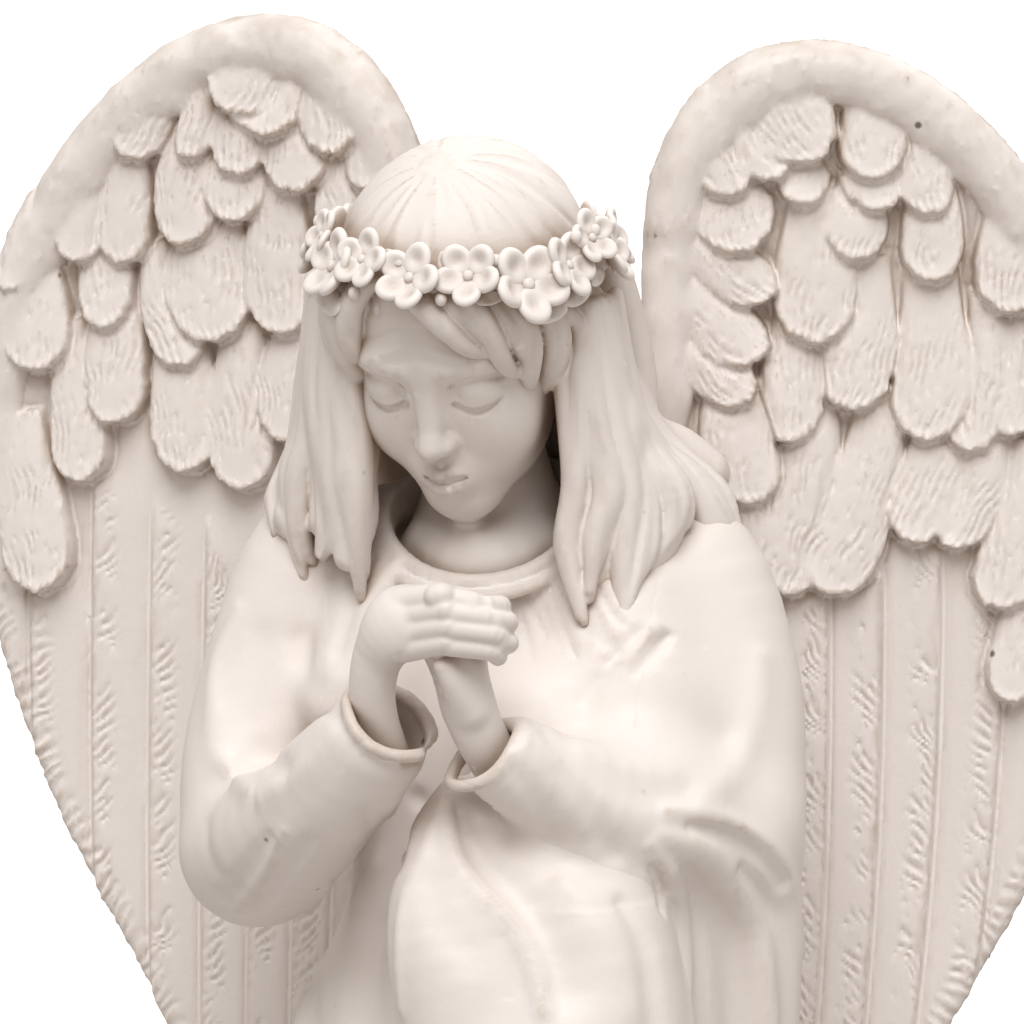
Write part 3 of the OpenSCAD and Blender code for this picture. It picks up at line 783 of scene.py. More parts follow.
    # soft wrinkles along the left forearm, and the edge where it lies on the chest cloth
    for amount, path in (
            (-0.7, [(-1.3, -46.7, 1.6), (4.3, -54.3, 2.2), (7.5, -62.2, 1.8)]),
            (-0.6, [(9, -49.6, 1.8), (14.7, -56.5, 2.4), (19.4, -64.6, 2.0)]),
            (0.6, [(3.4, -43.9, 2.0), (10, -53.3, 2.6), (14.3, -63.3, 2.0)]),
            (-1.1, [(6.8, -42, 2.0), (14.7, -48.6, 3.2), (24.1, -52.8, 3.4), (33.5, -52.4, 3.0)]),
            (0.9, [(35.4, -54.3, 2.4), (42, -48.6, 3.0), (45.8, -39.2, 3.0), (46.7, -27.9, 2.4)]),
            (-0.8, [(24.1, -35.4, 5.0), (33.5, -39.2, 5.0), (39.6, -42, 4.0)])):
        clay.sketch(path, amount)
    # the right sleeve: one long roll down its outer side that turns along the forearm
    for amount, path in (
            (1.2, [(-51.6, -18.8, 1.4), (-55.4, -27.9, 2.0), (-56.5, -37.3, 2.2), (-54.7, -46.7, 2.2),
                   (-49.4, -52.8, 1.8)]),
            (-1.1, [(-47.1, -24.1, 3.0), (-49.8, -35.4, 4.0), (-47.9, -44.9, 3.4), (-42.8, -48.6, 2.4)]),
            (0.8, [(-47.1, -54.3, 2.0), (-38.1, -47.7, 2.6), (-30.2, -38.3, 2.2)]),
            (-0.9, [(-40, -24.1, 3.0), (-36.6, -33.5, 3.2), (-32.8, -39.2, 2.0)]),
            (-1.4, [(-45.6, -61.4, 1.0), (-49, -67.1, 2.0), (-53.9, -73.1, 2.0)]),
            (0.8, [(-42.6, -60.3, 1.4), (-47.1, -67.8, 2.0), (-51.6, -74.6, 1.8)]),
            (-1.0, [(-37.7, -61.8, 1.2), (-43, -69, 1.8), (-47.1, -75.4, 1.4)]),
            (-0.7, [(-57.9, -59.9, 2.2), (-56, -67.5, 2.6), (-51.3, -70.3, 2.0)])):
        clay.sketch(path, amount)
    # the lap panel: a crisp left edge and one long ridge that swings to the right
    for amount, path in (
            (0.9, [(-12.8, -54.3, 0.9), (-16.4, -63.7, 1.2), (-20.2, -73.1, 1.3), (-21.5, -82.5, 1.4),
                   (-20.7, -93.9, 1.4)]),
            (1.5, [(-12.4, -53.9, 1.0), (-11.3, -63.7, 1.6), (-6.8, -70.9, 1.9), (-1.7, -75.8, 1.9),
                   (3.4, -83.5, 1.9), (6, -93.9, 1.8)]),
            (-1.3, [(-9.4, -56.5, 1.6), (-6.4, -65.2, 2.6), (0, -71.2, 3.2), (6.2, -78.8, 3.6),
                    (10.2, -90.1, 4.0)]),
            (-1.0, [(-15.5, -69.4, 2.4), (-13.6, -76.9, 4.0), (-7.9, -82.5, 4.0)]),
            (0.9, [(9, -69.4, 2.0), (16.6, -78.8, 3.0), (21.3, -93.9, 3.4)]),
            (-1.2, [(20.7, -74.1, 1.6), (25.1, -82.5, 2.4), (27, -99.5, 3.0)])):
        clay.sketch(path, amount)
    # long folds in the shaded side of the robe
    for amount, path in (
            (-1.6, [(-17.7, -54.3, 1.8), (-21.5, -65.6, 2.6), (-24.1, -78.8, 3.0), (-25.3, -99.5, 3.4)]),
            (1.0, [(-22.1, -54.3, 1.6), (-27.1, -67.5, 2.4), (-30.2, -82.5, 2.8), (-31.5, -99.5, 3.0)]),
            (-1.2, [(-27.1, -56.2, 1.6), (-32.4, -69.4, 2.2), (-35.8, -84.4, 2.8), (-37.7, -99.5, 3.0)]),
            (0.9, [(-34.3, -69.4, 1.4), (-38.4, -78.8, 2.0), (-40.7, -99.5, 2.6)])):
        clay.sketch(path, amount)
    # chest: the bright fold beside the cuff, gathers under the neckline, two short creases
    for amount, path in (
            (1.6, [(-21.5, -9.4, 1.0), (-24.9, -15.1, 1.7), (-27.9, -22.2, 1.9), (-29.4, -31.7, 1.6)]),
            (-1.3, [(-18.8, -11.3, 0.9), (-21.5, -16.6, 1.3), (-23.7, -22.6, 1.2)]),
            (-0.8, [(-26.4, -9, 1.0), (-30.2, -16.6, 1.8), (-32.8, -26, 1.8)]),
            (-1.5, [(24.7, -21.9, 0.6), (21.9, -24.9, 1.5), (18.5, -28.3, 0.7)]),
            (-1.8, [(29.8, -23.4, 0.6), (26.8, -26.4, 1.6), (23.4, -30.2, 0.7)]),
            (0.5, [(27.5, -21.5, 1.2), (24.1, -24.5, 2.0), (20, -28.3, 1.2)]),
            (-0.6, [(18.8, -29.4, 1.4), (13.8, -35.4, 2.4), (10.9, -43, 2.4)])):
        clay.sketch(path, amount)
    for i in range(9):
        sway = math.sin(2.1 * i)
        clay.sketch([(-1.508 + 2.167 * i, -15.454 + 0.245 * i, 0.5),
                     (-0.377 + 2.450 * i, -20.731 - 1.131 * sway, 0.75),
                     (0.754 + 2.808 * i, -25.631 - 2.262 * sway, 0.6)], -0.55)

    # open cuffs: cut square, bored out, with a rolled rim
    for at, axis, reach, bore, rim in (((-13, -47.5, 172.6), (0.5, -0.38, 0.78), 13, 7.8, 9.0),
                                       ((4.6, -48, 167), (-0.55, -0.38, 0.74), 11, 6.4, 8.0)):
        at, axis = np.array(at), np.array(axis) / np.linalg.norm(axis)
        clay.shape(lambda x, y, z: np.maximum(
            -((x - at[0]) * axis[0] + (y - at[1]) * axis[1] + (z - at[2]) * axis[2]),
            np.sqrt((x - at[0]) ** 2 + (y - at[1]) ** 2 + (z - at[2]) ** 2) - reach),
            at - reach, at + reach, soft=0.4, carve=True)
        clay.strand([(*(at - 9 * axis), bore * 0.7), (*(at - 4 * axis), bore),
                     (*(at + 6 * axis), bore * 1.1)],
                    soft=0.8, carve=True, steps=2)
        across = np.cross(axis, (0, 1, 0))
        across /= np.linalg.norm(across)
        other = np.cross(axis, across)
        turns = [2 * math.pi * i / 20 for i in range(21)]
        clay.strand([(*(at + rim * (math.cos(t) * across + math.sin(t) * other)
                        + 0.5 * math.sin(3 * t) * axis), 1.15)
                     for t in turns], soft=1.2, steps=1)

    # the neckline: the cloth stops at a rolled double band round the neck
    ring = []
    for i in range(33):
        t = 2 * math.pi * i / 32
        ring.append((-3.4 + 18.8 * math.sin(t), 1.5 - 17.2 * math.cos(t), 198.4 - 4.6 * math.cos(t)
                     + 3.4 * math.sin(t) ** 2, 1.6))
    clay.shape(lambda x, y, z: np.maximum(
        np.sqrt(((x + 3.4) / 17.8) ** 2 + ((y - 1.5) / 16.2) ** 2) * 16 - 16,
        0.24 * (y - 1.5) + 197.0 - z), (-23, -18, 188), (17, 20, 216), soft=1.5, carve=True)
    clay.strand(ring, soft=1.2, steps=1)
    clay.strand([(c[0] * 1.12 + 0.3, c[1] * 1.13 - 0.3, c[2] - 2.4, 1.3) for c in ring], soft=0.8, steps=1)
    return clay


def partAt(clay, name, node, side, low, high):
    cut, x, y, z = clay.window(low, high)
    part = Clay([x.min(), y.min(), z.min()], [x.max(), y.max(), z.max()], clay.spacing)
    part.axes, part.field = [x.ravel(), y.ravel(), z.ravel()], clay.field[cut].copy()
    if side:    # a sleeve's edge dips under the robe, so no step shows where they meet
        edge = sleeveEdge(x, y, z, side)
        part.field = np.maximum(clay.field[cut] + 0.6 * smooth01((edge + 2.2) / 2.2) - 0.09, edge)
    else:       # the robe runs on a little way under the sleeves, sinking as it goes
        edge = np.minimum(sleeveEdge(x, y, z, -1), sleeveEdge(x, y, z, 1))
        part.field = np.maximum(clay.field[cut] + 0.8 * smooth01((-edge - 2.2) / 3), -edge - 6)
    finishPiece(part.skin(name, adapt=0.01), node, resin["body"])


def finishPiece(piece, node, material):
    piece.data.materials.clear()
    piece.data.materials.append(material)
    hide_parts(node)
    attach(piece, "root")


def sleeveEdge(x, y, z, side):
    # negative inside a sleeve: outside the shoulder seam, and round the forearm
    seam = 31.5 + 0.05 * (z - 186) + 0.1 * (y - 8) - side * x
    bend = [(side * 47, -6, 150), (side * 40, -22, 148), (side * 26, -36, 156), (side * 8, -50, 170)]
    reach = [17, 16.5, 14.5, 12]
    near = np.float32(60) + 0 * (x + y + z)
    for (a, ra), (b, rb) in zip(zip(bend, reach), zip(bend[1:], reach[1:])):
        a, b = np.array(a, dtype=float), np.array(b, dtype=float)
        along = b - a
        t = (x - a[0]) * along[0] + (y - a[1]) * along[1] + (z - a[2]) * along[2]
        t = np.clip(t / (along @ along), 0, 1)
        near = np.minimum(near, np.sqrt((x - a[0] - t * along[0]) ** 2 + (y - a[1] - t * along[1]) ** 2
                                        + (z - a[2] - t * along[2]) ** 2) - ra - (rb - ra) * t)
    upper = np.maximum(np.maximum(seam, 128 - z), -30 - y)
    if side > 0:
        hang = np.maximum(np.maximum(26.5 - x, 86 - z), np.maximum(-32 - y, y - 14))
        upper = np.minimum(upper, np.maximum(hang, z - 150))
    return np.minimum(upper, near)


def makeCloth():
    clay = sculptCloth()
    partAt(clay, "rightSleeve", "right_arm", -1, (-70, -64, 116), (4, 34, 216))
    partAt(clay, "leftSleeve", "left_arm", 1, (-8, -66, 80), (68, 34, 216))
    partAt(clay, "robe", "robe_body", 0, (-70, -74, 13), (68, 54, 216))


# hands

def makeHands():
    clay = Clay((-34, -74, 154), (28, -34, 208), 0.36)
    # the right hand: a curved back that rises from its cuff, hollow towards the palm
    clay.strand([(-14, -45, 165.9, 4.2), (-15.6, -47.5, 172.7, 4.2), (-15.8, -50, 179.4, 4.3),
                 (-13.6, -52, 187.1, 4.9), (-8.6, -53, 192.3, 5.8)], soft=1)
    clay.egg((-9.5, -54, 191), (7.0, 5.6, 7.4), soft=3)
    # the left hand rises from its own cuff into the grip
    clay.strand([(6.9, -45, 163.9, 4.6), (3.7, -48, 170.9, 4.8), (1.5, -50, 177.6, 5.2),
                 (-0.2, -51, 183.6, 5.8), (-0.9, -51, 190.6, 6.2)], soft=1)
    clay.strand([(2.7, -53, 175.9, 2.6), (-0.1, -56, 181.5, 2.6), (-1.5, -57.5, 184.7, 2.2)], soft=2)
    clay.egg((-7.2, -57, 179.0), (4.8, 8.0, 7.6), soft=2.4, carve=True)
    # four fingers laid over the left hand, their tips turned down
    for up, tip, swell in ((-16.208, -5.277, 0.6), (-19.035, -3.015, 1.1),
                           (-22.051, -1.885, 1.1), (-25.066, -2.639, 0.6)):
        y = -58 - swell
        clay.strand([(*facing(-20.5, up - 0.6, y + 3), 2.7),
                     (*facing(-13, up + 0.5, y - 0.8), 2.35),
                     (*facing(tip - 9.046, up + 0.1, y - 1), 2.2),
                     (*facing(tip - 1.885, up - 0.9, y + 0.6), 2.0),
                     (*facing(tip, up - 2.2, y + 2.4), 1.7)], soft=0.5)
    clay.strand([(-10.5, -52, 194.6, 3.2), (-5.4, -54.4, 196.6, 2.6), (-0.6, -57, 197.4, 2.3),
                 (3.4, -58.6, 196.0, 1.9)], soft=0.8)
    # tips of the left hand's fingers over the right edge
    for finger in ([(6.4, -51, 194.6, 2.4), (8.4, -54.5, 195.5, 2.1), (7, -57, 196.2, 1.7)],
                   [(7.5, -51, 192, 2.4), (9.7, -54.5, 192.6, 2.1), (8.5, -57.6, 193.4, 1.7)],
                   [(7.5, -51, 188.7, 2.3), (9.9, -54.5, 188.9, 2.0), (9.2, -57.2, 189.2, 1.6)]):
        clay.strand(finger, soft=0.6)
    finishPiece(clay.skin("claspedHands"), "clasped_hands", resin["fine"])


# head, in its own upright frame: the face looks along -Y

head = {"at": (-6, -10, 246), "bow": 30, "turn": 12, "lean": 1}
headPlace = (Matrix.Translation(head["at"]) @ Matrix.Rotation(math.radians(-head["turn"]), 4, "Z")
             @ Matrix.Rotation(math.radians(-head["lean"]), 4, "Y")
             @ Matrix.Rotation(math.radians(head["bow"]), 4, "X"))
headBack = headPlace.inverted()


def toHead(points):
    # places given in the figure's frame, with their radii, for work in the head's frame
    return [(*(headBack @ Vector(p[:3])), p[3]) for p in points]


def makeFace():
    clay = Clay((-26, -38, -52), (26, 26, 30), 0.40)
    clay.egg((0, 2, 3), (20.5, 25, 24))
    clay.egg((0, -5.0, -11), (17.2, 18.5, 23), soft=7)
    clay.egg((0, -9.0, -24), (12.6, 13.4, 10.5), soft=6)
    clay.egg((0, -18.6, -31.2), (6.4, 4.8, 4.4), soft=6)
    clay.strand(toHead([(-3, 9, 200, 11.2), (-4, 6, 212, 10.8), (-5.5, 2, 226, 12.0)]), soft=4)
    clay.strand(toHead([(-12, 2, 196.5, 8), (-3.4, -4, 194.6, 8.6), (6, 2, 196.5, 8)]), soft=7)
    clay.strand(toHead([(-13, 12, 199, 6), (-5, 8, 216, 6)]), soft=6)
    clay.strand(toHead([(7, 12, 199, 6), (-2, 8, 216, 6)]), soft=6)
    for side in (-1, 1):
        clay.egg((side * 9.8, -16.0, -14.5), (6.6, 6.8, 8.2), soft=6)
        clay.egg((side * 8.6, -25.6, -4.6), (5.6, 3.6, 3.6), soft=3.4, carve=True)
        clay.egg((side * 8.4, -17.9, -5.6), (5.2, 5.4, 4.6), soft=0.9)
        clay.strand([(side * 15.5, -13.9, -1.1, 1.4), (side * 10.5, -20.6, 1.4, 1.6),
                     (side * 4.5, -23.0, 0.8, 1.6)],
                    soft=5)
    # nose
    clay.strand([(0, -22.0, 1.5, 2.0), (0, -23.2, -4, 1.8), (0, -26.2, -12.0, 1.9)], soft=4.2)
    clay.egg((0, -27.2, -14.4), (2.3, 2.5, 2.1), soft=2.4)
    for side in (-1, 1):
        clay.egg((side * 2.5, -24.7, -15.1), (1.5, 2.1, 1.5), soft=2.0)
        clay.egg((side * 1.3, -25.9, -16.7), (0.7, 1.1, 0.6), soft=0.6, carve=True)
        # lids lowered: the fold above, the lash line, and the lower lid
        clay.stroke([(side * 4.0, -21.9, -3.6, 0.5), (side * 6.4, -23.2, -1.9, 0.6),
                     (side * 10.0, -22.4, -1.8, 0.6), (side * 13.4, -18.8, -3.0, 0.8)], -0.6)
        clay.stroke([(side * 3.9, -21.9, -6.4, 0.45), (side * 6.2, -22.9, -8.2, 0.6),
                     (side * 9.4, -22.5, -8.8, 0.65), (side * 12.8, -19.6, -7.6, 0.7)], -0.7)
        clay.stroke([(side * 4.0, -22.2, -5.4, 0.5), (side * 6.4, -23.3, -7.0, 0.7),
                     (side * 9.4, -23.0, -7.5, 0.7), (side * 13.2, -19.4, -5.8, 0.5)], 0.42)
        clay.stroke([(side * 4.8, -21.6, -8.2, 0.6), (side * 8.6, -22.2, -10.2, 0.8),
                     (side * 12.6, -18.8, -8.4, 0.6)],
                    0.3)
    # mouth
    clay.egg((0, -19.4, -22.8), (7.2, 5.8, 5.4), soft=4)
    for side in (-1, 1):
        clay.strand([(side * 5.2, -22.4, -22.6, 0.5), (side * 1.9, -24.9, -21.2, 1.3),
                     (0, -24.9, -21.8, 1.15)],
                    soft=0.8)
    clay.strand([(-4.9, -22.4, -23.6, 0.6), (0, -24.9, -24.7, 2.0), (4.9, -22.4, -23.6, 0.6)], soft=1.4)
    clay.stroke([(-5.8, -22.2, -22.9, 0.4), (-2.2, -25.2, -22.8, 0.5), (0, -25.6, -23.2, 0.5),
                 (2.2, -25.6, -22.8, 0.5), (5.8, -22.2, -22.9, 0.4)], -1.1)
    clay.stroke([(0, -24.8, -17.6, 0.9), (0, -24.9, -19.8, 1.0)], -0.45)
    clay.stroke([(-3, -23.6, -27.6, 1.6), (0, -24.4, -27.8, 1.8), (3, -23.6, -27.6, 1.6)], -0.8)
    finishPiece(clay.skin("face", headPlace, 0.008), "head", resin["fine"])


hair = {"at": (0, 4, 4), "radii": (23.6, 27, 24.6), "step": 0.5}


def onHair(azimuth, height, lift=0.0):
    # a place on the cap of hair, azimuth from the front in degrees, height from the brow line
    a, h = math.radians(azimuth), math.radians(height)
    r = [v + lift for v in hair["radii"]]
    return headPlace @ Vector((hair["at"][0] + r[0] * math.sin(a) * math.cos(h),
                               hair["at"][1] - r[1] * math.cos(a) * math.cos(h),
                               hair["at"][2] + r[2] * math.sin(h)))


def makeHair():
    clay = Clay((-56, -44, 182), (62, 54, 282), hair["step"])
    rng = random.Random(11)
    bend = (head["bow"], -head["lean"], -head["turn"])
    clay.egg(headPlace @ Vector(hair["at"]), hair["radii"], turn=bend)
    clay.egg(headPlace @ Vector((0, -27, -15.5)), (15.4, 22, 24), soft=3, carve=True, turn=bend)
    # soft masses that carry the locks: beside the cheeks, over the shoulders
    for soft, mass in (
            (6, [(-28, -10, 243, 5), (-28.4, -10, 232.4, 6.2), (-27.4, -10.6, 222, 6.4),
                 (-27, -12, 213, 5.4), (-25.8, -13.2, 205, 4.6), (-26.6, -14, 198, 3)]),
            (6, [(-30.7, -1, 240.2, 6), (-31.8, 1, 228.5, 6.2), (-33.2, 2, 217.7, 6.4), (-37, 2, 209, 5.8),
                 (-39, -2, 203, 4.4)]),
            (6, [(-31.5, 8, 238, 6), (-33, 10, 225.4, 6.6), (-36, 11, 214.5, 6.6), (-41, 10, 206.6, 5)]),
            (7, [(17.6, -10, 243, 5), (18.6, -9, 231, 6.2), (21.4, -9, 221.7, 7), (21.6, -10, 213, 6.6),
                 (20.6, -11, 204, 5.6), (19.6, -13, 196, 3.6)]),
            (6, [(16.8, -2, 240, 5.2), (17.6, -1, 229, 5.6), (23.4, 0, 218.6, 6.8), (28, -1, 210, 6.6),
                 (30, -5, 203, 5.4), (28, -9, 197, 3.6)]),
            (6, [(15.8, 8, 238, 5.6), (16.6, 9, 228.1, 5.6), (25, 12, 216, 6.4), (32, 11, 210.4, 6),
                 (38, 11, 205.6, 5.2), (41, 9, 199, 3.4)]),
            (6, [(15.4, 18, 228.1, 7), (22.7, 21, 216.5, 6.6), (29.7, 24, 212.8, 6.2),
                 (35.2, 26, 209.4, 5)])):
        clay.strand(mass, soft=soft)
    # combed locks laid on them, fanned between guide lines from the cheek to the back
    for count, guides in (
            (20, [[(13.4, -15, 244), (14, -15.8, 233), (14.4, -16, 222), (15.6, -16.6, 212),
                   (14.6, -17, 203), (16.4, -17, 194)],
                  [(18.6, -15.6, 246), (20, -15.6, 233), (22, -15.6, 222), (24, -15.4, 212),
                   (22, -16.4, 201), (21.6, -17, 188)],
                  [(21.6, -8, 246), (23.6, -8, 232), (26.8, -7.6, 220), (32, -7.4, 211), (33, -9, 202),
                   (29, -13, 193)],
                  [(21, 4, 246), (22.6, 4, 232), (27, 4.4, 220), (37, 6, 211.6), (42, 9, 204),
                   (44, 14, 193)]]),
            (16, [[(-25, -16.6, 244), (-25.4, -17, 233), (-24.6, -17.4, 222), (-23.6, -18, 212),
                   (-23, -16.4, 204), (-24, -14.6, 196)],
                  [(-30.4, -14, 246), (-31.6, -14.4, 233), (-31, -15, 222), (-30.4, -15, 212),
                   (-30, -13.6, 202), (-31, -11, 194)],
                  [(-34.8, -6, 246), (-36.4, -5, 232), (-37.2, -4.6, 220), (-39, -4, 212),
                   (-40, -3.6, 204), (-39, -4, 196)],
                  [(-34, 6, 246), (-37, 7, 232), (-39.6, 7.6, 220), (-42.6, 5, 212), (-44, 3, 204),
                   (-43, 0, 195)]])):
        fan = [curveThrough([guide[k] for guide in guides], 16) for k in range(6)]
        for i in range(2 * count):
            under, i = divmod(i, count)     # the second round fills in beneath the first
            middle = min(i // 4 * 4 + 1.5, count - 1)
            drop = (-5, 4, -3, 5, -4, 3)[i // 4] + rng.uniform(-1, 1)
            path = np.array([lerp(row[48 * i // (count - 1)], row[int(48 * middle / (count - 1))],
                                  gather * (0.2 if under else 0.8))
                             for row, gather in zip(fan, (0, 0, 0.15, 0.45, 0.75, 1))])
            sway = [(0.4 + 0.2 * k) * math.sin(0.35 * i + 1.7 * k + 2.1 * (i // 4)) for k in range(5)]
            path[1:, 0] += sway
            path[1:, 1] += [1.3 * under - 0.4 - 0.6 * math.cos(1.9 * i + 1.4 * k) for k in range(5)]
            path[4, 2] += 0.4 * drop
            path[5, 2] += drop + 4 * under
            thick = rng.uniform(0.85, 1.2) + 0.15 * under
            radii = [thick * v for v in (1.3, 1.7, 1.8, 1.8, 1.5, 0.8)]
            clay.strand([(*place, radius) for place, radius in zip(path, radii)], soft=0.6)
    # fringe: wavy locks that leave the wreath one after another and sweep to the temples
    for side, low, high in (
            (1, [(-13, 12), (8, 10), (24, 3), (38, -12), (48, -34), (54, -52)],
             [(-13, 34), (10, 32), (36, 24), (60, 8), (80, -14), (94, -36)]),
            (-1, [(-15, 12), (-25, 6), (-33, -4), (-40, -18), (-47, -36), (-53, -52)],
             [(-15, 34), (-34, 27), (-50, 16), (-66, 2), (-80, -16), (-92, -36)])):
        low, high = np.array(low), np.array(high)
        for i in range(11):
            lock = []
            for k in range(7):
                s = k / 6
                along = min(0.42 * i + 2.0 * s, 5)
                at = int(along), min(int(along) + 1, 5)
                near, far = (lerp(guide[at[0]], guide[at[1]], along - int(along)) for guide in (high, low))
                azimuth, height = lerp(near, far, smooth01(1.15 * s) * (0.8 + 0.2 * (i % 2)))
                lock.append((*onHair(azimuth, height + 1.3 * math.sin(2.2 * i + 5 * s),
                                     0.7 + 1.5 * math.sin(math.pi * s) + 0.5 * math.sin(2.7 * i)),
                             (1.3, 1.8, 2.1, 2.2, 2.0, 1.7, 1.2)[k]))
            clay.strand(lock, soft=0.35)
    # the back of the hair, down between the wings
    for k in range(9):
        x = -24 + 6 * k
        clay.strand([(x * 0.8 - 3, 12, 256, 4.6), (x - 3 + 2 * math.sin(3 * k), 20, 240, 5.2),
                     (x * 1.02 - 3, 24, 224, 5.0), (x - 3 + 2.4 * math.sin(2 * k + 1), 26, 208, 4.2),
                     (x * 0.9 - 3, 28, 196 + 5 * math.sin(k * 2.1), 2.0)], soft=1.6)

    # strands combed into the cap, from the crown to the wreath
    for i in range(72):
        azimuth = 360 * i / 72 + rng.uniform(-2, 2)
        amount = rng.uniform(-0.45, -0.15) if i % 3 else rng.uniform(0.08, 0.25)
        width = rng.uniform(0.5, 1.1)
        clay.stroke([(*onHair(azimuth, 80), width * 0.6), (*onHair(azimuth + rng.uniform(-4, 4), 60),
                                                           width),
                     (*onHair(azimuth + rng.uniform(-5, 5), 40), width),
                     (*onHair(azimuth + rng.uniform(-4, 4), 18), width)],
                    amount, 4)
    finishPiece(clay.skin("hair", adapt=0.02), "head", resin["hair"])


# the wreath: one petal, one leaf and one bud modelled, then copied round two twisted stems

wreath = {"at": (-4.8, -8.6, 254.4), "radii": (25.6, 28.0), "dip": 2.6}


def onWreath(azimuth, out=0.0, up=0.0):
    a = math.radians(azimuth)
    return Vector((wreath["at"][0] + (wreath["radii"][0] + out) * math.sin(a),
                   wreath["at"][1] - (wreath["radii"][1] + out) * math.cos(a),
                   wreath["at"][2] - wreath["dip"] * math.cos(a) + up))


def shapedBall(name, size, segments, rings, dent, dentReach):
    # a ball flattened into a petal, leaf or bud, its upper face pressed in
    bpy.ops.object.select_all(action="DESELECT")
    bpy.ops.mesh.primitive_uv_sphere_add(segments=segments, ring_count=rings, radius=1)
    piece = bpy.context.object
    piece.name = name
    bpy.ops.object.mode_set(mode="EDIT")
    bpy.ops.mesh.select_all(action="SELECT")
    bpy.ops.transform.resize(value=size, center_override=(0, 0, 0))
    bpy.ops.mesh.select_all(action="DESELECT")
    bpy.ops.object.mode_set(mode="OBJECT")
    top = max(piece.data.vertices, key=lambda v: v.co.z)
    top.select = True
    bpy.ops.object.mode_set(mode="EDIT")
    bpy.ops.transform.translate(value=(0, 0, -dent), use_proportional_edit=True,
                                proportional_edit_falloff="SMOOTH", proportional_size=dentReach)
    bpy.ops.object.mode_set(mode="OBJECT")
    return piece


def placedCopy(source, matrix, parts):
    copy = source.copy()
    copy.data = source.data.copy()
    copy.data.transform(matrix)
    bpy.context.collection.objects.link(copy)
    parts.append(copy)


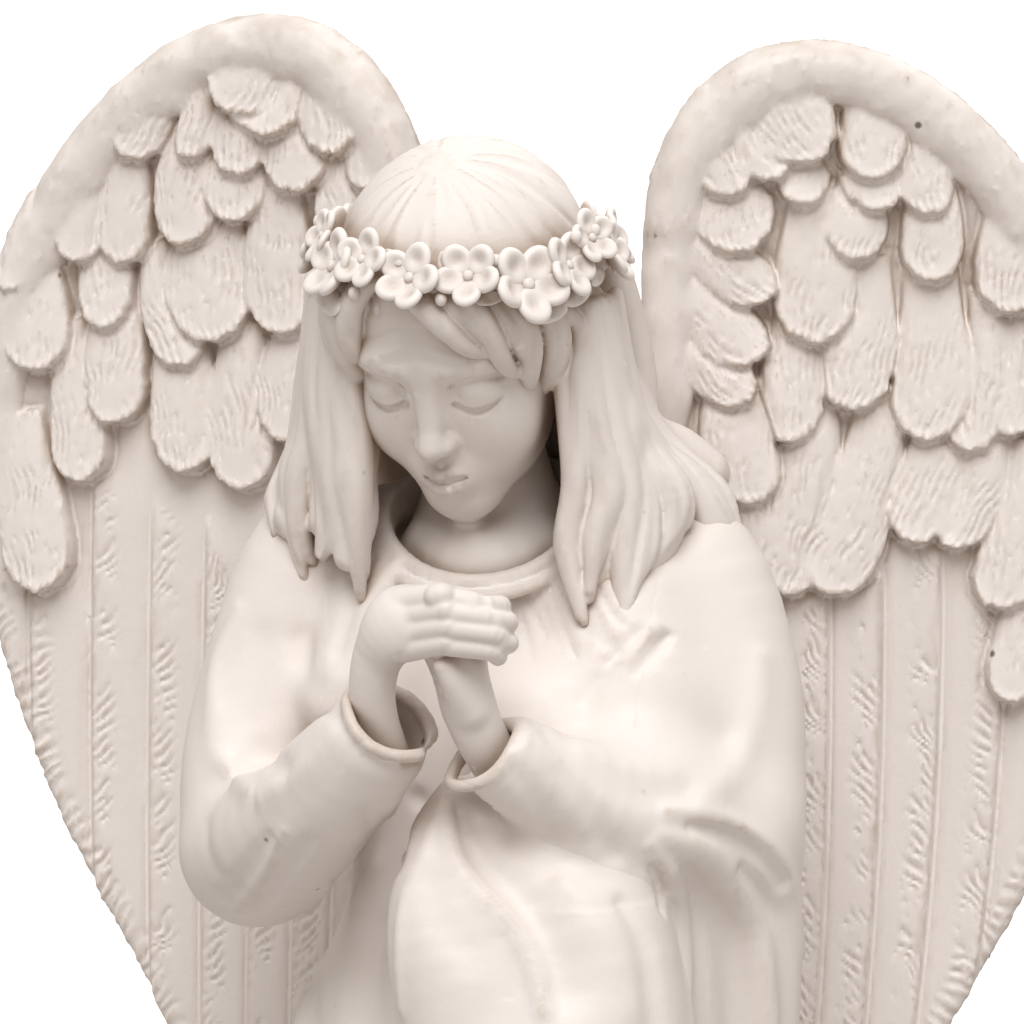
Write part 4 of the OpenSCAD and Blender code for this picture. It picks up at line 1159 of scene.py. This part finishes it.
def makeWreath():
    petal = shapedBall("petal", (2.5, 2.15, 1.0), 14, 8, 1.15, 1.7)
    leaf = shapedBall("leaf", (3.6, 1.7, 0.6), 14, 8, 0.5, 1.6)
    bud = shapedBall("bud", (1.35, 1.35, 1.5), 12, 8, 0.25, 0.8)
    rng = random.Random(5)
    parts = []
    # azimuth, out, up, size
    flowers = [(-66, 2.0, 5.4, 1.15), (-50, 3.0, 1.2, 1.5), (-33, 2.6, 3.6, 1.25), (-12, 2.6, 1.2, 1.4),
               (10, 2.6, 1.8, 1.35), (32, 3.2, -0.4, 1.65), (50, 2.6, 2.0, 1.35), (64, 2.2, 6.0, 1.15),
               (84, 2.2, 1.4, 1.3), (-84, 2.2, 1.6, 1.25), (108, 2.0, 2.0, 1.25), (132, 2.0, 0.8, 1.3),
               (156, 2.0, 2.0, 1.25), (180, 2.0, 1.0, 1.3), (-156, 2.0, 2.0, 1.25), (-132, 2.0, 0.8, 1.3),
               (-108, 2.0, 2.0, 1.25)]
    for azimuth, out, up, size in flowers:
        place = onWreath(azimuth, out, up)
        face = Matrix.Rotation(math.radians(azimuth), 4, "Z") @ Matrix.Rotation(math.radians(66), 4, "X")
        tilt = Matrix.Rotation(rng.uniform(-0.25, 0.25), 4, "Y")
        stand = Matrix.Translation(place) @ face @ tilt @ Matrix.Scale(size, 4)
        first = rng.uniform(0, 72)
        for i in range(5):
            turn = Matrix.Rotation(math.radians(first + 72 * i + rng.uniform(-5, 5)), 4, "Z")
            placedCopy(petal, stand @ turn @ Matrix.Translation((2.55, 0, 0.35)) @ Matrix.Rotation(
                math.radians(-20 + rng.uniform(-7, 7)), 4, "Y"), parts)
        placedCopy(bud, stand @ Matrix.Scale(0.62, 4), parts)
    for azimuth, out, up, spin, size in (
            (-54, 3.0, -5.2, 165, 1.7), (-38, 1.6, 5.0, 40, 0.8), (-20, 1.8, 4.6, 150, 0.7),
            (18, 1.6, -2.6, 190, 0.8), (40, 2.6, -5.8, 8, 1.4), (56, 2.2, -3.8, 20, 1.2),
            (70, 1.8, -1.8, 200, 0.9), (0, 1.2, 4.2, 90, 0.6), (92, 1.6, -1.4, 20, 0.9),
            (116, 1.4, 3.6, 150, 0.9), (142, 1.4, -1.6, 10, 0.9), (168, 1.4, 3.6, 170, 0.9),
            (-168, 1.4, -1.6, 10, 0.9), (-142, 1.4, 3.6, 150, 0.9), (-118, 1.4, -1.6, 30, 0.9),
            (-96, 1.4, 3.6, 190, 0.9), (-70, 1.8, -1.8, 150, 0.9)):
        stand = (Matrix.Translation(onWreath(azimuth, out, up))
                 @ Matrix.Rotation(math.radians(azimuth), 4, "Z")
                 @ Matrix.Rotation(math.radians(75), 4, "X") @ Matrix.Rotation(math.radians(spin), 4, "Z")
                 @ Matrix.Scale(size, 4))
        placedCopy(leaf, stand, parts)
    for azimuth, out, up in ((-66, 2.6, -4.4), (-74, 2.2, 7.4), (66, 2.2, 7.2), (72, 2.4, 3.8),
                             (-36, 3.4, -2.6), (20, 2.8, 4.4), (54, 2.6, 7.0), (-70, 2.4, 2.2),
                             (0, 3.0, -2.4)):
        placedCopy(bud, Matrix.Translation(onWreath(azimuth, out, up)) @ Matrix.Scale(0.9, 4), parts)
    for source in (petal, leaf, bud):
        bpy.data.objects.remove(source)
    # stems
    for phase in (0, math.pi):
        curve = bpy.data.curves.new("stem", "CURVE")
        curve.dimensions = "3D"
        curve.bevel_depth = 1.35
        curve.bevel_resolution = 3
        spline = curve.splines.new("POLY")
        count = 96
        spline.points.add(count - 1)
        spline.use_cyclic_u = True
        for i in range(count):
            t = 360 * i / count
            twist = math.radians(t * 9) + phase
            spline.points[i].co = (*onWreath(t, 1.0 * math.cos(twist) - 0.2, 1.1 * math.sin(twist)), 1)
        stem = bpy.data.objects.new("stem", curve)
        bpy.context.collection.objects.link(stem)
        bpy.ops.object.select_all(action="DESELECT")
        stem.select_set(True)
        bpy.context.view_layer.objects.active = stem
        bpy.ops.object.convert(target="MESH")
        parts.append(bpy.context.object)
    bpy.ops.object.select_all(action="DESELECT")
    for part in parts:
        part.select_set(True)
    bpy.context.view_layer.objects.active = parts[0]
    bpy.ops.object.join()
    piece = bpy.context.object
    piece.name = "flowerWreath"
    piece.data.transform(Matrix.Scale(mm, 4))
    bpy.ops.object.modifier_add(type="SUBSURF")
    piece.modifiers[-1].levels = 1
    bpy.ops.object.modifier_apply(modifier=piece.modifiers[-1].name)
    bpy.ops.object.shade_smooth()
    print(piece.name, sum(len(f.vertices) - 2 for f in piece.data.polygons), "triangles")
    finishPiece(piece, "flower_wreath", resin["fine"])


# plinth: a disc drawn up ring by ring, hollow below

plinth = {
    "inside": 64, "sides": 144,
    "profile": [(64, 1.5), (71.4, 1.5), (72, 2.1), (72, 4.6), (71.3, 6.0), (70, 7.6), (68.4, 8.8),
                (67.4, 9.6), (66.9, 10.9), (66.7, 12.2), (66.9, 13.2), (66.6, 14.2), (65.8, 15.0),
                (64.8, 15.4), (62.5, 15.5)],
    "ceiling": 10.5,
}


def makePlinth():
    bpy.ops.object.select_all(action="DESELECT")
    bpy.ops.mesh.primitive_circle_add(vertices=plinth["sides"], radius=plinth["inside"] * mm,
                                      fill_type="NGON",
                                      location=(0, 0, plinth["ceiling"] * mm))
    piece = bpy.context.object
    piece.name = "castPlinth"
    bpy.ops.object.mode_set(mode="EDIT")
    bpy.ops.mesh.select_all(action="SELECT")
    radius, height = plinth["inside"], plinth["ceiling"]
    for nextRadius, nextHeight in plinth["profile"]:
        rise = (0, 0, (nextHeight - height) * mm)
        bpy.ops.mesh.extrude_region_move(TRANSFORM_OT_translate={"value": rise})
        k = nextRadius / radius
        bpy.ops.transform.resize(value=(k, k, 1), center_override=(0, 0, nextHeight * mm))
        radius, height = nextRadius, nextHeight
    bpy.ops.mesh.inset(thickness=0.012)
    bpy.ops.mesh.select_all(action="SELECT")
    bpy.ops.mesh.normals_make_consistent(inside=False)
    bpy.ops.object.mode_set(mode="OBJECT")
    bpy.ops.object.transform_apply(location=True, rotation=True, scale=True)
    bpy.ops.object.modifier_add(type="BEVEL")
    piece.modifiers[-1].width = 0.0002
    piece.modifiers[-1].segments = 2
    bpy.ops.object.modifier_apply(modifier=piece.modifiers[-1].name)
    bpy.ops.object.shade_smooth_by_angle(angle=math.radians(40))
    print(piece.name, len(piece.data.polygons), "faces")
    finishPiece(piece, "plinth", resin["body"])


def steelMaterial():
    # drawn rod with a fine tooth and a few dull patches
    material = bpy.data.materials.new("drawnSteel")
    material.use_nodes = True
    tree = material.node_tree
    shader = tree.nodes["Principled BSDF"]
    tree.links.new(mixColour(tree, noiseNode(tree, 160, 4), (0.60, 0.61, 0.63, 1), (0.42, 0.43, 0.45, 1)),
                   shader.inputs["Base Color"])
    tree.links.new(spanNode(tree, noiseNode(tree, 420, 3), 0.3, 0.7, 0.22, 0.42),
                   shader.inputs["Roughness"])
    bumps = addNode(tree, "ShaderNodeBump", None, {"Strength": 0.12, "Distance": 0.0002})
    tree.links.new(noiseNode(tree, 1500, 2), bumps.inputs["Height"])
    tree.links.new(bumps.outputs["Normal"], shader.inputs["Normal"])
    shader.inputs["Metallic"].default_value = 1
    return material


def feltMaterial():
    # pressed wool: tangled light and dark fibres
    material = bpy.data.materials.new("woolFelt")
    material.use_nodes = True
    tree = material.node_tree
    shader = tree.nodes["Principled BSDF"]
    fibre = noiseNode(tree, 1300, 6, 0.75, 1.5)
    tree.links.new(mixColour(tree, spanNode(tree, fibre, 0.3, 0.7), (0.36, 0.33, 0.28, 1),
                             (0.58, 0.54, 0.48, 1)),
                   shader.inputs["Base Color"])
    tree.links.new(spanNode(tree, noiseNode(tree, 60, 3), 0.3, 0.7, 0.86, 0.97), shader.inputs["Roughness"])
    bumps = addNode(tree, "ShaderNodeBump", None, {"Strength": 0.6, "Distance": 0.0004})
    tree.links.new(fibre, bumps.inputs["Height"])
    tree.links.new(bumps.outputs["Normal"], shader.inputs["Normal"])
    shader.inputs["Sheen Weight"].default_value = 0.3
    return material


placeCamera()
placeStudio()
makeFloor()
steel, felt = steelMaterial(), feltMaterial()
for name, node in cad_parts.items():
    for slot in node.material_slots:
        slot.material = steel if "dowel" in name else felt if name == "felt_pad" else resin["body"]
makePlinth()
makeCloth()
makeHands()
makeFace()
makeHair()
makeWreath()
for side, label in ((1, "leftWing"), (-1, "rightWing")):
    for front in (True, False):
        makeWingFace(label + ("Front" if front else "Back"), side, front)
